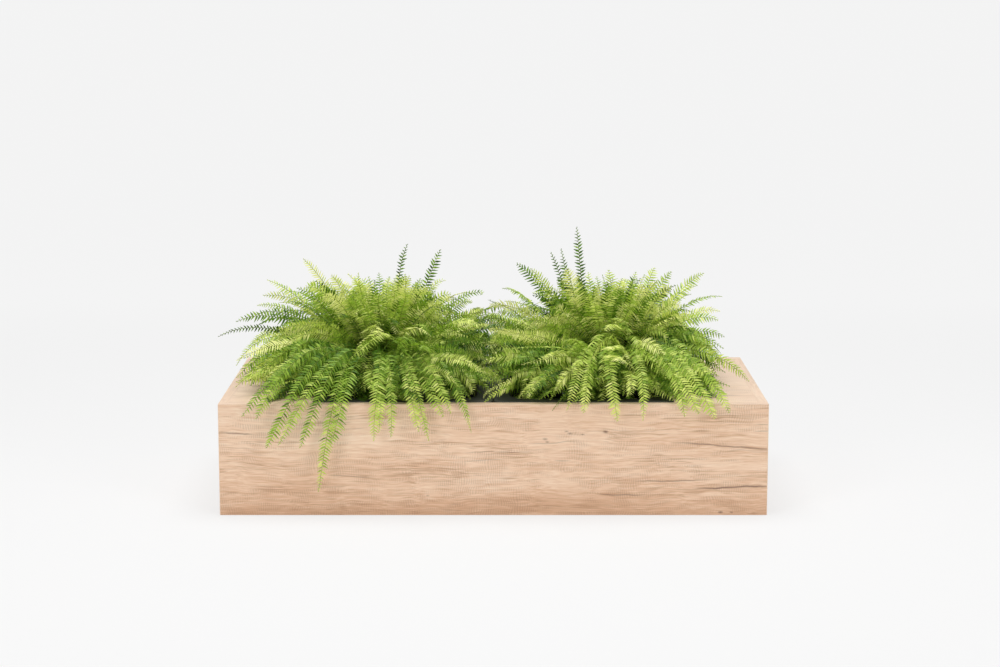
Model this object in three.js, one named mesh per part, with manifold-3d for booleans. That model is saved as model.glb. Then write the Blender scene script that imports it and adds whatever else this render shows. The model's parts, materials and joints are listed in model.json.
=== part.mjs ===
// A low floor planter: a long box of oak-décor board with two black plastic liners
// side by side in its open middle, and a potted Boston fern standing in each liner.
// Millimetres, +Z up. The origin is the centre of the underside, the front faces -Y.
import * as THREE from 'three';
import { mergeVertices } from 'three/addons/utils/BufferGeometryUtils.js';
import Module from 'manifold-3d';

const wasm = await Module();
wasm.setup();

// ---------------------------------------------------------------- driving sizes

// The box
const boxWidth = 1000;
const boxDepth = 500;
const boxHeight = 206;
const boardThickness = 18;
const openingWidth = 660;
const bandThickness = 1;
const bandGlue = 0.1;
const glueLine = 0.2;

// Dowels that join the boards
const dowelDiameter = 8;
const dowelInFace = 12;
const dowelInEdge = 18;
const dowelClearance = 0.3;
const dowelFromEdge = 50;
const baseDowelSpacing = 320;
const sideDowelSpacing = 300;
const roundSides = 8;

// Rails that carry the liners, and their screws
const railThickness = 18;
const railHeight = 40;
const screwLength = 30;
const screwDiameter = 4;
const screwHeadDiameter = 8;
const screwHeadHeight = 2.6;
const screwTipLength = 5;
const screwClearance = 0.3;
const screwFromMiddle = 240;

// Plastic liners
const linerGap = 1;
const linerFloorGap = 4;
const linerProud = 1.5;
const linerWall = 2.5;
const linerFloor = 3;
const linerDraftDegrees = 2.5;
const linerCornerRadius = 38;
const rimWidth = 30;
const rimThickness = 3;
const lipHeight = 10;
const lipThickness = 2.5;
const rimCornerRadius = 9;
const rimEdgeRound = 1.2;
const cornerSteps = 4;

// Nursery pots and the compost in them
const potTopDiameter = 160;
const potBaseDiameter = 122;
const potHeight = 155;
const potWall = 2;
const potBandHeight = 14;
const potBandProud = 2.5;
const potOutwardShift = 48;
const drainHoleDiameter = 10;
const drainHoleCount = 4;
const drainHoleCircle = 70;
const potSides = 24;
const compostBelowRim = 12;
const compostClearance = 0.4;
const compostDome = 5;
const restGap = 0.2;

// Ferns
const crownDiameter = 84;
const crownHeight = 72;
const crownSides = 10;
const frondRootRadius = 20;
const frondRootHeight = 26;
const frondWidth = 30;
const frondThickness = 2.6;
const stalkWidth = 5;
const inwardReach = 209;
const middleClearance = 4;
const overhang = 27;
const overhangPerDrop = 0.06;
const leastDetail = 0.1;

// ---------------------------------------------------------------- finishes

function finish(color, roughness, metalness = 0) {
  return new THREE.MeshStandardMaterial({ color, roughness, metalness });
}

const oakDecor = finish('#dcb994', 0.5);
const oakBand = finish('#e2c29f', 0.5);
const plainBatten = finish('#cfae83', 0.7);
const beechDowel = finish('#c9a26d', 0.7);
const zincScrew = finish('#b9b9b2', 0.35, 1);
const blackPlastic = finish('#2a2a28', 0.45);
const potPlastic = finish('#1f1f1e', 0.55);
const darkCompost = finish('#3a2a1e', 0.95);
const fernGreen = finish('#5f8f2c', 0.6);

// ---------------------------------------------------------------- solids

// A closed geometry as a solid that can be joined and cut.
function toSolid(geometry) {
  const bare = geometry.clone();
  bare.deleteAttribute('normal');
  bare.deleteAttribute('uv');
  const merged = mergeVertices(bare, 1e-4);
  return new wasm.Manifold(new wasm.Mesh({
    numProp: 3,
    vertProperties: new Float32Array(merged.attributes.position.array),
    triVerts: new Uint32Array(merged.index.array),
  }));
}

function toGeometry(solid) {
  const mesh = solid.getMesh();
  return indexedGeometry(mesh.vertProperties, mesh.triVerts);
}

function indexedGeometry(positions, triangles) {
  const geometry = new THREE.BufferGeometry();
  geometry.setAttribute('position', new THREE.BufferAttribute(new Float32Array(positions), 3));
  geometry.setIndex(new THREE.BufferAttribute(new Uint32Array(triangles), 1));
  geometry.computeVertexNormals();
  return geometry;
}

function addMesh(group, name, geometry, material, position = new THREE.Vector3()) {
  const mesh = new THREE.Mesh(geometry, material);
  mesh.name = name;
  mesh.position.copy(position);
  group.add(mesh);
  return mesh;
}

// Joins rings of equal length into one skin, first ring to last, and closes both ends.
function skinThroughRings(rings) {
  const count = rings[0].length;
  const positions = rings.flat().flatMap((point) => [point.x, point.y, point.z]);
  const triangles = [];
  for (let ring = 0; ring + 1 < rings.length; ring += 1) {
    for (let i = 0; i < count; i += 1) {
      const a = ring * count + i;
      const b = ring * count + ((i + 1) % count);
      triangles.push(a, b, b + count, a, b + count, a + count);
    }
  }
  const last = (rings.length - 1) * count;
  for (let i = 1; i + 1 < count; i += 1) {
    triangles.push(0, i + 1, i, last, last + i, last + i + 1);
  }
  return indexedGeometry(positions, triangles);
}

// ---------------------------------------------------------------- the box

const planter = new THREE.Group();
const carcass = new THREE.Group();
planter.add(carcass);

const halfWidth = boxWidth / 2;
const halfDepth = boxDepth / 2;
const halfOpening = openingWidth / 2;
const bandStep = bandThickness + bandGlue;
const innerHalfWidth = halfWidth - boardThickness;
const innerHalfDepth = halfDepth - boardThickness;
const boardTop = boxHeight - bandStep;
const boards = new Map();

// A board between two opposite corners, kept as a solid until its holes are drilled.
function addBoard(name, from, to, material = oakDecor) {
  const low = new THREE.Vector3(...from).min(new THREE.Vector3(...to));
  const high = new THREE.Vector3(...from).max(new THREE.Vector3(...to));
  const size = high.clone().sub(low);
  const centre = low.clone().add(high).multiplyScalar(0.5);
  const solid = toSolid(new THREE.BoxGeometry(size.x, size.y, size.z));
  boards.set(name, { solid, centre, material });
}

// Cuts a tool, given about its own place, out of one board.
function drill(name, tool, place) {
  const board = boards.get(name);
  const shift = place.clone().sub(board.centre);
  const cutter = toSolid(tool.clone().translate(shift.x, shift.y, shift.z));
  board.solid = board.solid.subtract(cutter);
}

const baseTop = boardThickness;
const topBoardUnderside = boxHeight - boardThickness;
const longPanelEnd = halfWidth - bandStep;
const sideName = new Map([[-1, 'front'], [1, 'back']]);
const endName = new Map([[-1, 'left'], [1, 'right']]);

for (const [side, name] of sideName) {
  addBoard(`${name}_panel`,
    [-longPanelEnd, side * halfDepth, 0],
    [longPanelEnd, side * innerHalfDepth, boardTop]);
  addBoard(`${name}_panel_top_band`,
    [-halfWidth, side * halfDepth, boxHeight - bandThickness],
    [halfWidth, side * innerHalfDepth, boxHeight], oakBand);
  for (const [end, short] of endName) {
    addBoard(`${name}_panel_${short}_band`,
      [end * (halfWidth - bandThickness), side * halfDepth, 0],
      [end * halfWidth, side * innerHalfDepth, boardTop], oakBand);
  }
  const railFace = side * (innerHalfDepth - glueLine);
  const railTop = boxHeight + linerProud - lipHeight - restGap;
  addBoard(`${name}_rail`,
    [-halfOpening + glueLine, railFace, railTop - railHeight],
    [halfOpening - glueLine, railFace - side * railThickness, railTop], plainBatten);
}

const endDepth = innerHalfDepth - glueLine;
addBoard('base_panel',
  [-innerHalfWidth + glueLine, -endDepth, 0],
  [innerHalfWidth - glueLine, endDepth, baseTop]);

for (const [end, name] of endName) {
  addBoard(`${name}_end_panel`,
    [end * halfWidth, -endDepth, 0],
    [end * innerHalfWidth, endDepth, boardTop]);
  addBoard(`${name}_end_panel_top_band`,
    [end * halfWidth, -endDepth, boxHeight - bandThickness],
    [end * innerHalfWidth, endDepth, boxHeight], oakBand);
  addBoard(`${name}_top_board`,
    [end * (innerHalfWidth - glueLine), -endDepth, topBoardUnderside],
    [end * (halfOpening + bandStep), endDepth, boxHeight]);
  addBoard(`${name}_top_board_band`,
    [end * (halfOpening + bandThickness), -endDepth, topBoardUnderside],
    [end * halfOpening, endDepth, boxHeight], oakBand);
  addBoard(`${name}_partition`,
    [end * halfOpening, -endDepth, baseTop + glueLine],
    [end * (halfOpening + boardThickness), endDepth, topBoardUnderside - glueLine]);
}

// ---------------------------------------------------------------- dowels and screws

// Turns a tool that was made along +Y so that it lies along the given axis.
function alongAxis(geometry, axis) {
  const turn = new THREE.Quaternion().setFromUnitVectors(new THREE.Vector3(0, 1, 0), axis);
  return geometry.clone().applyQuaternion(turn);
}

// A dowel across the joint at `point`: it sits in the face of one board and in the edge
// of the other, which lies in the direction of `axis`.
function addDowel(name, point, axis, faceBoard, edgeBoard) {
  const length = dowelInFace + dowelInEdge;
  const radius = dowelDiameter / 2;
  const peg = new THREE.CylinderGeometry(radius, radius, length, roundSides);
  const holeRadius = radius + dowelClearance;
  const hole = new THREE.CylinderGeometry(
    holeRadius, holeRadius, length + 2 * dowelClearance, roundSides);
  const place = point.clone().addScaledVector(axis, (dowelInEdge - dowelInFace) / 2);
  drill(faceBoard, alongAxis(hole, axis), place);
  drill(edgeBoard, alongAxis(hole, axis), place);
  addMesh(carcass, name, alongAxis(peg, axis), beechDowel, place);
}

const xAxis = new THREE.Vector3(1, 0, 0);
const yAxis = new THREE.Vector3(0, 1, 0);
const zAxis = new THREE.Vector3(0, 0, 1);
const boardMiddle = boardThickness / 2;

for (const [side, long] of sideName) {
  const inwards = yAxis.clone().multiplyScalar(-side);
  for (const [end, short] of endName) {
    for (const [level, z] of [['lower', dowelFromEdge], ['upper', boxHeight - dowelFromEdge]]) {
      addDowel(`corner_dowel_${long}_${short}_${level}`,
        new THREE.Vector3(end * (halfWidth - boardMiddle), side * innerHalfDepth, z),
        inwards, `${long}_panel`, `${short}_end_panel`);
    }
  }
  for (const [step, word] of [[-1, 'left'], [0, 'middle'], [1, 'right']]) {
    addDowel(`base_dowel_${long}_${word}`,
      new THREE.Vector3(step * baseDowelSpacing, side * innerHalfDepth, boardMiddle),
      inwards, `${long}_panel`, 'base_panel');
  }
}

for (const [end, short] of endName) {
  const inwards = xAxis.clone().multiplyScalar(-end);
  const partitionMiddle = end * (halfOpening + boardMiddle);
  addDowel(`base_dowel_${short}_end`,
    new THREE.Vector3(end * innerHalfWidth, 0, boardMiddle),
    inwards, `${short}_end_panel`, 'base_panel');
  addDowel(`partition_dowel_${short}_foot`,
    new THREE.Vector3(partitionMiddle, 0, baseTop),
    zAxis, 'base_panel', `${short}_partition`);
  for (const [side, long] of sideName) {
    const y = side * sideDowelSpacing / 2;
    addDowel(`top_board_dowel_${short}_${long}`,
      new THREE.Vector3(end * innerHalfWidth, y, boxHeight - boardMiddle),
      inwards, `${short}_end_panel`, `${short}_top_board`);
    addDowel(`partition_dowel_${short}_${long}`,
      new THREE.Vector3(partitionMiddle, y, topBoardUnderside),
      zAxis.clone().negate(), `${short}_top_board`, `${short}_partition`);
  }
}

// A countersunk screw along +Y with its head at the origin, grown all round by `extra`.
function screwGeometry(extra) {
  const shank = screwDiameter / 2 + extra;
  const head = screwHeadDiameter / 2 + extra;
  const profile = [
    [0, -screwLength - extra],
    [shank, -screwLength + screwTipLength - extra],
    [shank, -screwHeadHeight - extra],
    [head, extra],
    [0, extra],
  ];
  return new THREE.LatheGeometry(profile.map(([r, y]) => new THREE.Vector2(r, y)), roundSides);
}

for (const [side, long] of sideName) {
  const outOfRail = yAxis.clone().multiplyScalar(-side);
  const rail = boards.get(`${long}_rail`);
  for (const [end, short] of endName) {
    const place = new THREE.Vector3(
      end * screwFromMiddle, side * (innerHalfDepth - glueLine - railThickness), rail.centre.z);
    const hole = alongAxis(screwGeometry(screwClearance), outOfRail);
    drill(`${long}_rail`, hole, place);
    drill(`${long}_panel`, hole, place);
    addMesh(carcass, `rail_screw_${long}_${short}`,
      alongAxis(screwGeometry(0), outOfRail), zincScrew, place);
  }
}

for (const [name, { solid, centre, material }] of boards) {
  addMesh(carcass, name, toGeometry(solid), material, centre);
}

// ---------------------------------------------------------------- liners

const linerWidth = (openingWidth - 3 * linerGap) / 2;
const linerDepth = boxDepth - 2 * boardThickness - 2 * linerGap;
const linerBase = baseTop + linerFloorGap;
const linerHeight = boxHeight + linerProud - linerBase;
const linerCentre = linerGap / 2 + linerWidth / 2;
const linerTaper = Math.tan(THREE.MathUtils.degToRad(linerDraftDegrees))
  * (linerHeight - rimThickness);

// A level ring with rounded corners, anticlockwise from above.
function roundedRing(halfX, halfY, radius, z) {
  const points = [];
  for (let corner = 0; corner < 4; corner += 1) {
    const signX = corner === 0 || corner === 3 ? 1 : -1;
    const signY = corner < 2 ? 1 : -1;
    for (let step = 0; step <= cornerSteps; step += 1) {
      const angle = (corner + step / cornerSteps) * Math.PI / 2;
      points.push(new THREE.Vector3(
        signX * (halfX - radius) + radius * Math.cos(angle),
        signY * (halfY - radius) + radius * Math.sin(angle), z));
    }
  }
  return points;
}

// The liner's wall as rings: up the outside, round the rim and its lip, down the inside.
// Each row is how far the ring lies inside the rim's edge, its height and its corner radius.
function linerGeometry() {
  const top = linerHeight;
  const underRim = top - rimThickness;
  const bodyRadius = linerCornerRadius;
  const innerRadius = linerCornerRadius - linerWall;
  const rows = [
    [rimWidth - linerWall + linerTaper, 0, bodyRadius],
    [rimWidth - linerWall, underRim, bodyRadius],
    [lipThickness, underRim, rimCornerRadius - lipThickness],
    [lipThickness, top - lipHeight, rimCornerRadius - lipThickness],
    [0, top - lipHeight, rimCornerRadius],
    [0, top - rimEdgeRound, rimCornerRadius],
    [rimEdgeRound, top, rimCornerRadius - rimEdgeRound],
    [rimWidth - rimEdgeRound, top, innerRadius + rimEdgeRound],
    [rimWidth, top - rimEdgeRound, innerRadius],
    [rimWidth + linerTaper, linerFloor, innerRadius],
  ];
  return skinThroughRings(rows.map(([inset, z, radius]) => roundedRing(
    linerWidth / 2 - inset, linerDepth / 2 - inset, radius, z)));
}

// ---------------------------------------------------------------- pots and compost

const potTopRadius = potTopDiameter / 2;
const potBaseRadius = potBaseDiameter / 2;

// The pot's outer radius, without its band, at a height above its underside.
function potRadiusAt(z) {
  return THREE.MathUtils.lerp(potBaseRadius, potTopRadius, z / potHeight);
}

function latheAlongZ(profile, sides) {
  const points = profile.map(([radius, z]) => new THREE.Vector2(radius, z));
  return new THREE.LatheGeometry(points, sides).rotateX(Math.PI / 2);
}

function potGeometry() {
  const bandFoot = potHeight - potBandHeight;
  const shell = latheAlongZ([
    [0, 0],
    [potBaseRadius, 0],
    [potRadiusAt(bandFoot), bandFoot],
    [potRadiusAt(bandFoot) + potBandProud, bandFoot],
    [potTopRadius + potBandProud, potHeight],
    [potTopRadius - potWall, potHeight],
    [potRadiusAt(potWall) - potWall, potWall],
    [0, potWall],
  ], potSides);
  let solid = toSolid(shell);
  const radius = drainHoleDiameter / 2;
  for (let hole = 0; hole < drainHoleCount; hole += 1) {
    const angle = (hole / drainHoleCount) * 2 * Math.PI;
    const drainHole = new THREE.CylinderGeometry(radius, radius, 2 * potWall, roundSides)
      .rotateX(Math.PI / 2)
      .translate(drainHoleCircle / 2 * Math.cos(angle), drainHoleCircle / 2 * Math.sin(angle),
        potWall / 2);
    solid = solid.subtract(toSolid(drainHole));
  }
  return toGeometry(solid);
}

const compostFoot = potWall + compostClearance;
const compostEdge = potHeight - compostBelowRim;
const compostTop = compostEdge + compostDome;

function compostGeometry() {
  const inside = (z) => potRadiusAt(z) - potWall - compostClearance;
  return latheAlongZ([
    [0, compostFoot],
    [inside(compostFoot), compostFoot],
    [inside(compostEdge), compostEdge],
    [crownDiameter / 2 + compostClearance, compostTop],
    [0, compostTop],
  ], potSides);
}

// ---------------------------------------------------------------- ferns

const linerInnerFloor = linerBase + linerFloor;
const potFoot = linerInnerFloor + restGap;
const crownX = linerCentre + potOutwardShift;
const crownFoot = compostTop + restGap;
const boxTopAbovePot = boxHeight - potFoot;

// Fronds that rise and arch. Each row: how far the tip lies from the crown outwards along
// the box, how far to the back, its height above the box, and the rise of the arch.
const leftRisingFronds = [
  [315, -20, 85, 70], [280, 0, 115, 60], [250, 40, 135, 60], [235, 60, 155, 50],
  [225, 20, 190, 40], [195, -60, 160, 50], [155, 40, 230, 25], [125, 60, 170, 50],
  [80, -40, 185, 30], [55, 60, 200, 25], [30, 40, 195, 20], [-20, 60, 190, 25],
  [-35, 40, 260, 10], [-55, -20, 205, 20], [-100, 20, 250, 20], [-160, 40, 160, 60],
  [-209, 0, 165, 70], [-175, -60, 160, 50], [270, -90, 50, 80], [265, -130, 25, 95],
  [262, -172, 14, 110], [-200, -60, 75, 70], [-195, -125, 30, 90], [-150, -95, 110, 60],
  [150, -150, 60, 90], [60, -180, 65, 100], [-60, -170, 75, 90], [5, -120, 125, 60],
];
const rightRisingFronds = [
  [-60, 20, 295, 10], [-120, 20, 245, 25], [-95, 40, 250, 20], [-170, 0, 225, 40],
  [-125, -40, 220, 30], [-180, -40, 185, 50], [-75, -60, 225, 25], [-205, -20, 140, 70],
  [15, 60, 205, 25], [30, 20, 195, 15], [97, 60, 210, 30], [138, 60, 200, 40],
  [126, -20, 185, 40], [196, 40, 200, 45], [177, 0, 185, 45], [231, 20, 155, 60],
  [220, -20, 135, 60], [213, -60, 125, 60], [225, -40, 85, 70], [217, -80, 70, 80],
  [268, -110, 15, 95], [-205, -150, 22, 90], [-190, -196, 16, 110], [-130, -188, 18, 110],
  [-200, -70, 80, 70], [-150, -100, 110, 60], [60, -180, 60, 100], [-40, -170, 75, 90],
  [120, -130, 90, 80],
];

// Fronds that hang over the front edge. Each row: how far the tip lies from the crown
// outwards along the box, how far below the top edge it hangs, and the rise of the arch.
const leftHangingFronds = [
  [240, 20, 120], [218, 24, 130], [195, 77, 130], [174, 72, 115], [136, 76, 130],
  [96, 157, 125], [78, 72, 110], [10, 64, 125], [-10, 48, 105], [-32, 57, 120],
  [-84, 47, 115], [-106, 64, 130], [-130, 20, 105], [-152, 14, 120], [-198, 49, 120],
];
const rightHangingFronds = [
  [215, 12, 120], [189, 23, 130], [160, 14, 110], [134, 20, 125], [57, 27, 120],
  [12, 28, 130], [-46, 12, 115], [-70, 8, 125],
];

// Fans of fronds that fill the back and the low front of a fern. Angles are in degrees,
// counted from the inward side round the back, and the tiers repeat round each fan.
const frondFans = [
  {
    start: 26,
    end: 164,
    count: 17,
    tiers: [
      { reach: 224, height: 18, rise: 112 },
      { reach: 186, height: 112, rise: 70 },
      { reach: 214, height: 58, rise: 92 },
      { reach: 122, height: 184, rise: 35 },
    ],
  },
  {
    start: -155,
    end: -22,
    count: 8,
    tiers: [
      { reach: 168, height: 34, rise: 100 },
      { reach: 112, height: 128, rise: 48 },
      { reach: 146, height: 74, rise: 76 },
    ],
  },
];

// The centre line of a frond, as a cubic curve in the upright plane through crown and tip.
// `lean` is how much of the reach the last control point covers: past 1, the tip hangs.
function frondLine(tip, rise, firstLift, lean, lastLift) {
  const reach = Math.hypot(tip.x, tip.y);
  const outwards = new THREE.Vector3(tip.x / reach, tip.y / reach, 0);
  const root = outwards.clone().multiplyScalar(frondRootRadius);
  root.z = crownFoot + frondRootHeight;
  const along = (share, z) => root.clone()
    .addScaledVector(outwards, share * (reach - frondRootRadius))
    .setZ(z);
  return new THREE.CubicBezierCurve3(
    root, along(firstShare, firstLift + rise), along(lean, lastLift + rise), tip);
}

const firstShare = 0.25;
const risingLean = 0.75;
const hangingLean = 1.06;

function risingLine([x, y, height, rise]) {
  const tip = new THREE.Vector3(x, y, boxTopAbovePot + height);
  const rootHeight = crownFoot + frondRootHeight;
  const climb = tip.z - rootHeight;
  return frondLine(tip, rise,
    rootHeight + firstShare * climb, risingLean, rootHeight + risingLean * climb);
}

function hangingLine([x, drop, rise]) {
  const y = -halfDepth - overhang - overhangPerDrop * drop;
  const tip = new THREE.Vector3(x, y, boxTopAbovePot - drop);
  return frondLine(tip, rise, boxTopAbovePot, hangingLean, boxTopAbovePot);
}

// How wide the frond is along its length, as shares: a bare stalk, then a long blade.
const risingOutline = [[0, 0], [0.24, 0.6], [0.5, 1], [0.78, 0.66]];
const hangingOutline = [[0, 0], [0.24, 0.6], [0.48, 1], [0.64, 0.95], [0.76, 0.75], [0.88, 0.45]];

// A frond as one tapering blade with a lens-shaped section, closed to a point at its tip.
function frondBlade(line, outline) {
  const tangent0 = line.getTangent(0);
  const side = new THREE.Vector3(-tangent0.y, tangent0.x, 0).normalize();
  const positions = [];
  for (const [share, fullness] of outline) {
    const centre = line.getPoint(share);
    const above = line.getTangent(share).cross(side).normalize();
    const half = THREE.MathUtils.lerp(stalkWidth, frondWidth, fullness) / 2;
    const thick = frondThickness / 2;
    for (const [across, up] of [[half, 0], [0, thick], [-half, 0], [0, -thick]]) {
      const point = centre.clone().addScaledVector(side, across).addScaledVector(above, up);
      positions.push(...point);
    }
  }
  positions.push(...line.getPoint(1));
  const tip = positions.length / 3 - 1;
  const lastRing = tip - 4;
  const triangles = [0, 2, 1, 0, 3, 2];
  for (let a = 0; a < lastRing; a += 1) {
    const b = a % 4 === 3 ? a - 3 : a + 1;
    triangles.push(a, b, b + 4, a, b + 4, a + 4);
  }
  for (let i = 0; i < 4; i += 1) {
    triangles.push(lastRing + i, lastRing + ((i + 1) % 4), tip);
  }
  return indexedGeometry(positions, triangles);
}

// The dense heart of the fern, where the stalks stand together: a blunt dome.
// Each row is a share of the crown's radius and a share of its height.
const crownOutline = [[0, 0], [1, 0], [1, 0.3], [0.7, 0.75], [0, 1]];

function crownGeometry() {
  const profile = crownOutline.map(([out, up]) => [
    out * crownDiameter / 2, crownFoot + up * crownHeight]);
  return latheAlongZ(profile, crownSides);
}

// Fills the closed pockets that crossing stalks leave between them.
function withoutPockets(solid) {
  const shells = solid.decompose().filter((shell) => shell.volume() > 0);
  return wasm.Manifold.compose(shells);
}

// One fern about its crown. `end` is -1 for the left fern and 1 for the right.
function fernGeometry(end, rising, hanging) {
  const inwardScale = (crownX - middleClearance) / inwardReach;
  const across = (outwards) => end * (outwards < 0 ? outwards * inwardScale : outwards);
  const lines = rising.map(([x, ...rest]) => risingLine([across(x), ...rest]));
  for (const { start, end: last, count, tiers } of frondFans) {
    for (let i = 0; i < count; i += 1) {
      const degrees = THREE.MathUtils.lerp(start, last, i / (count - 1));
      const angle = THREE.MathUtils.degToRad(degrees);
      const { reach, height, rise } = tiers[i % tiers.length];
      const x = across(-reach * Math.cos(angle));
      lines.push(risingLine([x, reach * Math.sin(angle), height, rise]));
    }
  }
  let fern = toSolid(crownGeometry());
  for (const line of lines) {
    fern = fern.add(toSolid(frondBlade(line, risingOutline)));
  }
  for (const [x, ...rest] of hanging) {
    fern = fern.add(toSolid(frondBlade(hangingLine([across(x), ...rest]), hangingOutline)));
  }
  return toGeometry(withoutPockets(fern).simplify(leastDetail));
}

const fernFronds = new Map([
  [-1, [leftRisingFronds, leftHangingFronds]],
  [1, [rightRisingFronds, rightHangingFronds]],
]);

for (const [end, side] of endName) {
  const liner = new THREE.Group();
  liner.position.set(end * linerCentre, 0, linerBase);
  planter.add(liner);
  addMesh(liner, `${side}_liner`, linerGeometry(), blackPlastic);

  const plant = new THREE.Group();
  plant.position.set(end * potOutwardShift, 0, potFoot - linerBase);
  liner.add(plant);
  addMesh(plant, `${side}_pot`, potGeometry(), potPlastic);
  addMesh(plant, `${side}_compost`, compostGeometry(), darkCompost);
  addMesh(plant, `${side}_fern`, fernGeometry(end, ...fernFronds.get(end)), fernGreen);
}

export default planter;
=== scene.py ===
# %% [markdown]
# # A floor planter with two ferns
# A long, low box of oak-décor board stands on a white studio floor. Its middle is open over two
# black plastic liners, and a potted Boston fern stands in each. The boards come from the packed
# model and only need their finish. The liners, pots, compost and ferns are modelled here, because
# their rounded rims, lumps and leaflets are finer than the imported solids.

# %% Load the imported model
import json
import math

import bpy
import numpy as np
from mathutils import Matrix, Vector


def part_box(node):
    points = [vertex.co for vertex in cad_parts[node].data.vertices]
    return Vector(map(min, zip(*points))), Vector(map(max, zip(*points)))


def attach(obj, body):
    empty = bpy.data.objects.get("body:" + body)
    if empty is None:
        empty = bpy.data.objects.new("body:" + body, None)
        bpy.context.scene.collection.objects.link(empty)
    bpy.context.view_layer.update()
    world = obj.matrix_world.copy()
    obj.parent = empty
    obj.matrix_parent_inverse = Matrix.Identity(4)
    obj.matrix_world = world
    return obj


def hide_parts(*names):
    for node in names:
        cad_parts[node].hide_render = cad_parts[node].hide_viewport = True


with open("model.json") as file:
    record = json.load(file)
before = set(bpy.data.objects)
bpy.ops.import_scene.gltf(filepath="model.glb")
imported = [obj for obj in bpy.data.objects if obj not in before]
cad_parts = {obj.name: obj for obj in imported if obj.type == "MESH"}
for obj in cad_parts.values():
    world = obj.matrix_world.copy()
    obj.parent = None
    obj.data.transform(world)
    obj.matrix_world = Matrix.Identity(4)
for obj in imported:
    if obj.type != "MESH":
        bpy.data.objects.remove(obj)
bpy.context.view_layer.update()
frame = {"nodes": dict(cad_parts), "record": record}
MM = 0.001
print("the packed model holds", len(frame["nodes"]), "nodes")

# %% [markdown]
# ## The camera
# The box is seen from about four metres away and one metre up, through a long lens, so that its
# upright edges stay nearly parallel. The place and tilt come from fitting a camera to the five
# corners of the box that the photograph shows, with the box at its real size.

# %% Set the camera
PICTURE_WIDTH = 1000
FOCAL_LENGTH_IN_PIXELS = 2240
SENSOR_WIDTH = 36
CAMERA_PLACE = (0.012, -4.2395, 0.985)
CAMERA_TILT = 0.1612

camera_data = bpy.data.cameras.new("camera")
camera_data.sensor_width = SENSOR_WIDTH
camera_data.lens = FOCAL_LENGTH_IN_PIXELS / PICTURE_WIDTH * SENSOR_WIDTH
camera = bpy.data.objects.new("camera", camera_data)
camera.location = CAMERA_PLACE
camera.rotation_euler = (math.pi / 2 - CAMERA_TILT, 0, 0)
bpy.context.scene.collection.objects.link(camera)
bpy.context.scene.camera = camera
print("lens", round(camera_data.lens, 1), "mm")

# %% [markdown]
# ## Small helpers
# Colours are written as sRGB hex values, as they look on a screen, and Blender's shaders want
# linear light, so one function turns them. A second function adds a node to a material. It takes
# a list of inputs in their own order, or a few of them by name, and each may be a number, a hex
# colour, another node's output, or a whole node, which then stands for its first output in use.

# %% Colour and node helpers


def linear(hex_colour):
    """Linear light for an sRGB colour: each channel through the sRGB curve, with alpha 1."""
    channels = [int(hex_colour[i:i + 2], 16) / 255 for i in (1, 3, 5)]
    light = [c / 12.92 if c <= 0.04045 else ((c + 0.055) / 1.055) ** 2.4 for c in channels]
    return (*light, 1.0)


def add_node(tree, kind, inputs=(), stops=(), **settings):
    """Adds a node of Blender's kind "ShaderNode" + kind. Stops are a ramp's places and colours."""
    node = tree.nodes.new("ShaderNode" + kind)
    for name, value in settings.items():
        setattr(node, name, value)
    if isinstance(inputs, dict):
        pairs = [(node.inputs[name], value) for name, value in inputs.items()]
    else:
        pairs = zip([socket for socket in node.inputs if socket.enabled], inputs)
    for socket, value in pairs:
        if isinstance(value, bpy.types.Node):
            value = next(output for output in value.outputs if output.enabled)
        if isinstance(value, bpy.types.NodeSocket):
            tree.links.new(value, socket)
        else:
            socket.default_value = linear(value) if isinstance(value, str) else value
    for i, (place, colour) in enumerate(stops):
        elements = node.color_ramp.elements
        element = elements[i] if i < len(elements) else elements.new(1.0)
        element.position = place
        element.color = linear(colour)
    return node


def new_material(name):
    """An empty node material, its tree, and the places on the object in the object's own frame."""
    material = bpy.data.materials.new(name)
    material.use_nodes = True
    tree = material.node_tree
    tree.nodes.clear()
    return material, tree, add_node(tree, "TexCoord").outputs["Object"]


def finish_material(tree, relief, strength, depth, inputs):
    """The material's surface, with these inputs and a bump, linked to its output."""
    bump = add_node(tree, "Bump", {"Strength": strength, "Distance": depth, "Height": relief})
    surface = add_node(tree, "BsdfPrincipled", {**inputs, "Normal": bump})
    add_node(tree, "OutputMaterial", [surface])


# %% [markdown]
# ## Oak-décor melamine board
# The board is chipboard under a printed oak picture, sealed in melamine resin between steel plates.
# To the eye it is flat, matt and even, with a picture of long grain, rows of fine saw marks across
# it, a few dark cracks and small knots. The long grain is noise squeezed across the board and
# pulled along it. The saw marks are a fine wave along the board that shows only in short rows.
# The cracks and knots that catch the eye are placed one by one, where the real ones lie. Painted
# shade darkens the front towards its foot, and painted light pales the top faces and edge bands.

# %% Measure the oak décor
# Noises: how wide a grain is, how many times as long, the detail, and the roughness if not 0.55.
GRAIN_BAND = (45 * MM, 7, 3)
FIBRE = (3.4 * MM, 26, 4, 0.7)
FINE_FIBRE = (1.3 * MM, 26, 3, 0.6)
STREAK = (2.2 * MM, 34, 2)
STREAK_BED = (26 * MM, 6, 2)
SAW_WAVER = (50 * MM, 1, 2)
SAW_ROW = (8 * MM, 5, 1)
SAW_PATCH = (75 * MM, 1.6, 2)
STRAY_CRACK = (7 * MM, 16, 2)
# Where a noise shows: from what value on, from where in full, and its least and greatest depth.
STREAKS_SHOW = (0.29, 0.4, 0, 0.52)
SAW_MARKS_SHOW = (0.22, 0.33, 0, 0.62)
STRAY_CRACKS_SHOW = (0.7, 0.8, 0, 0.4)
GRAIN_WEIGHTS = (0.26, 0.42, 0.32)
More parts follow.
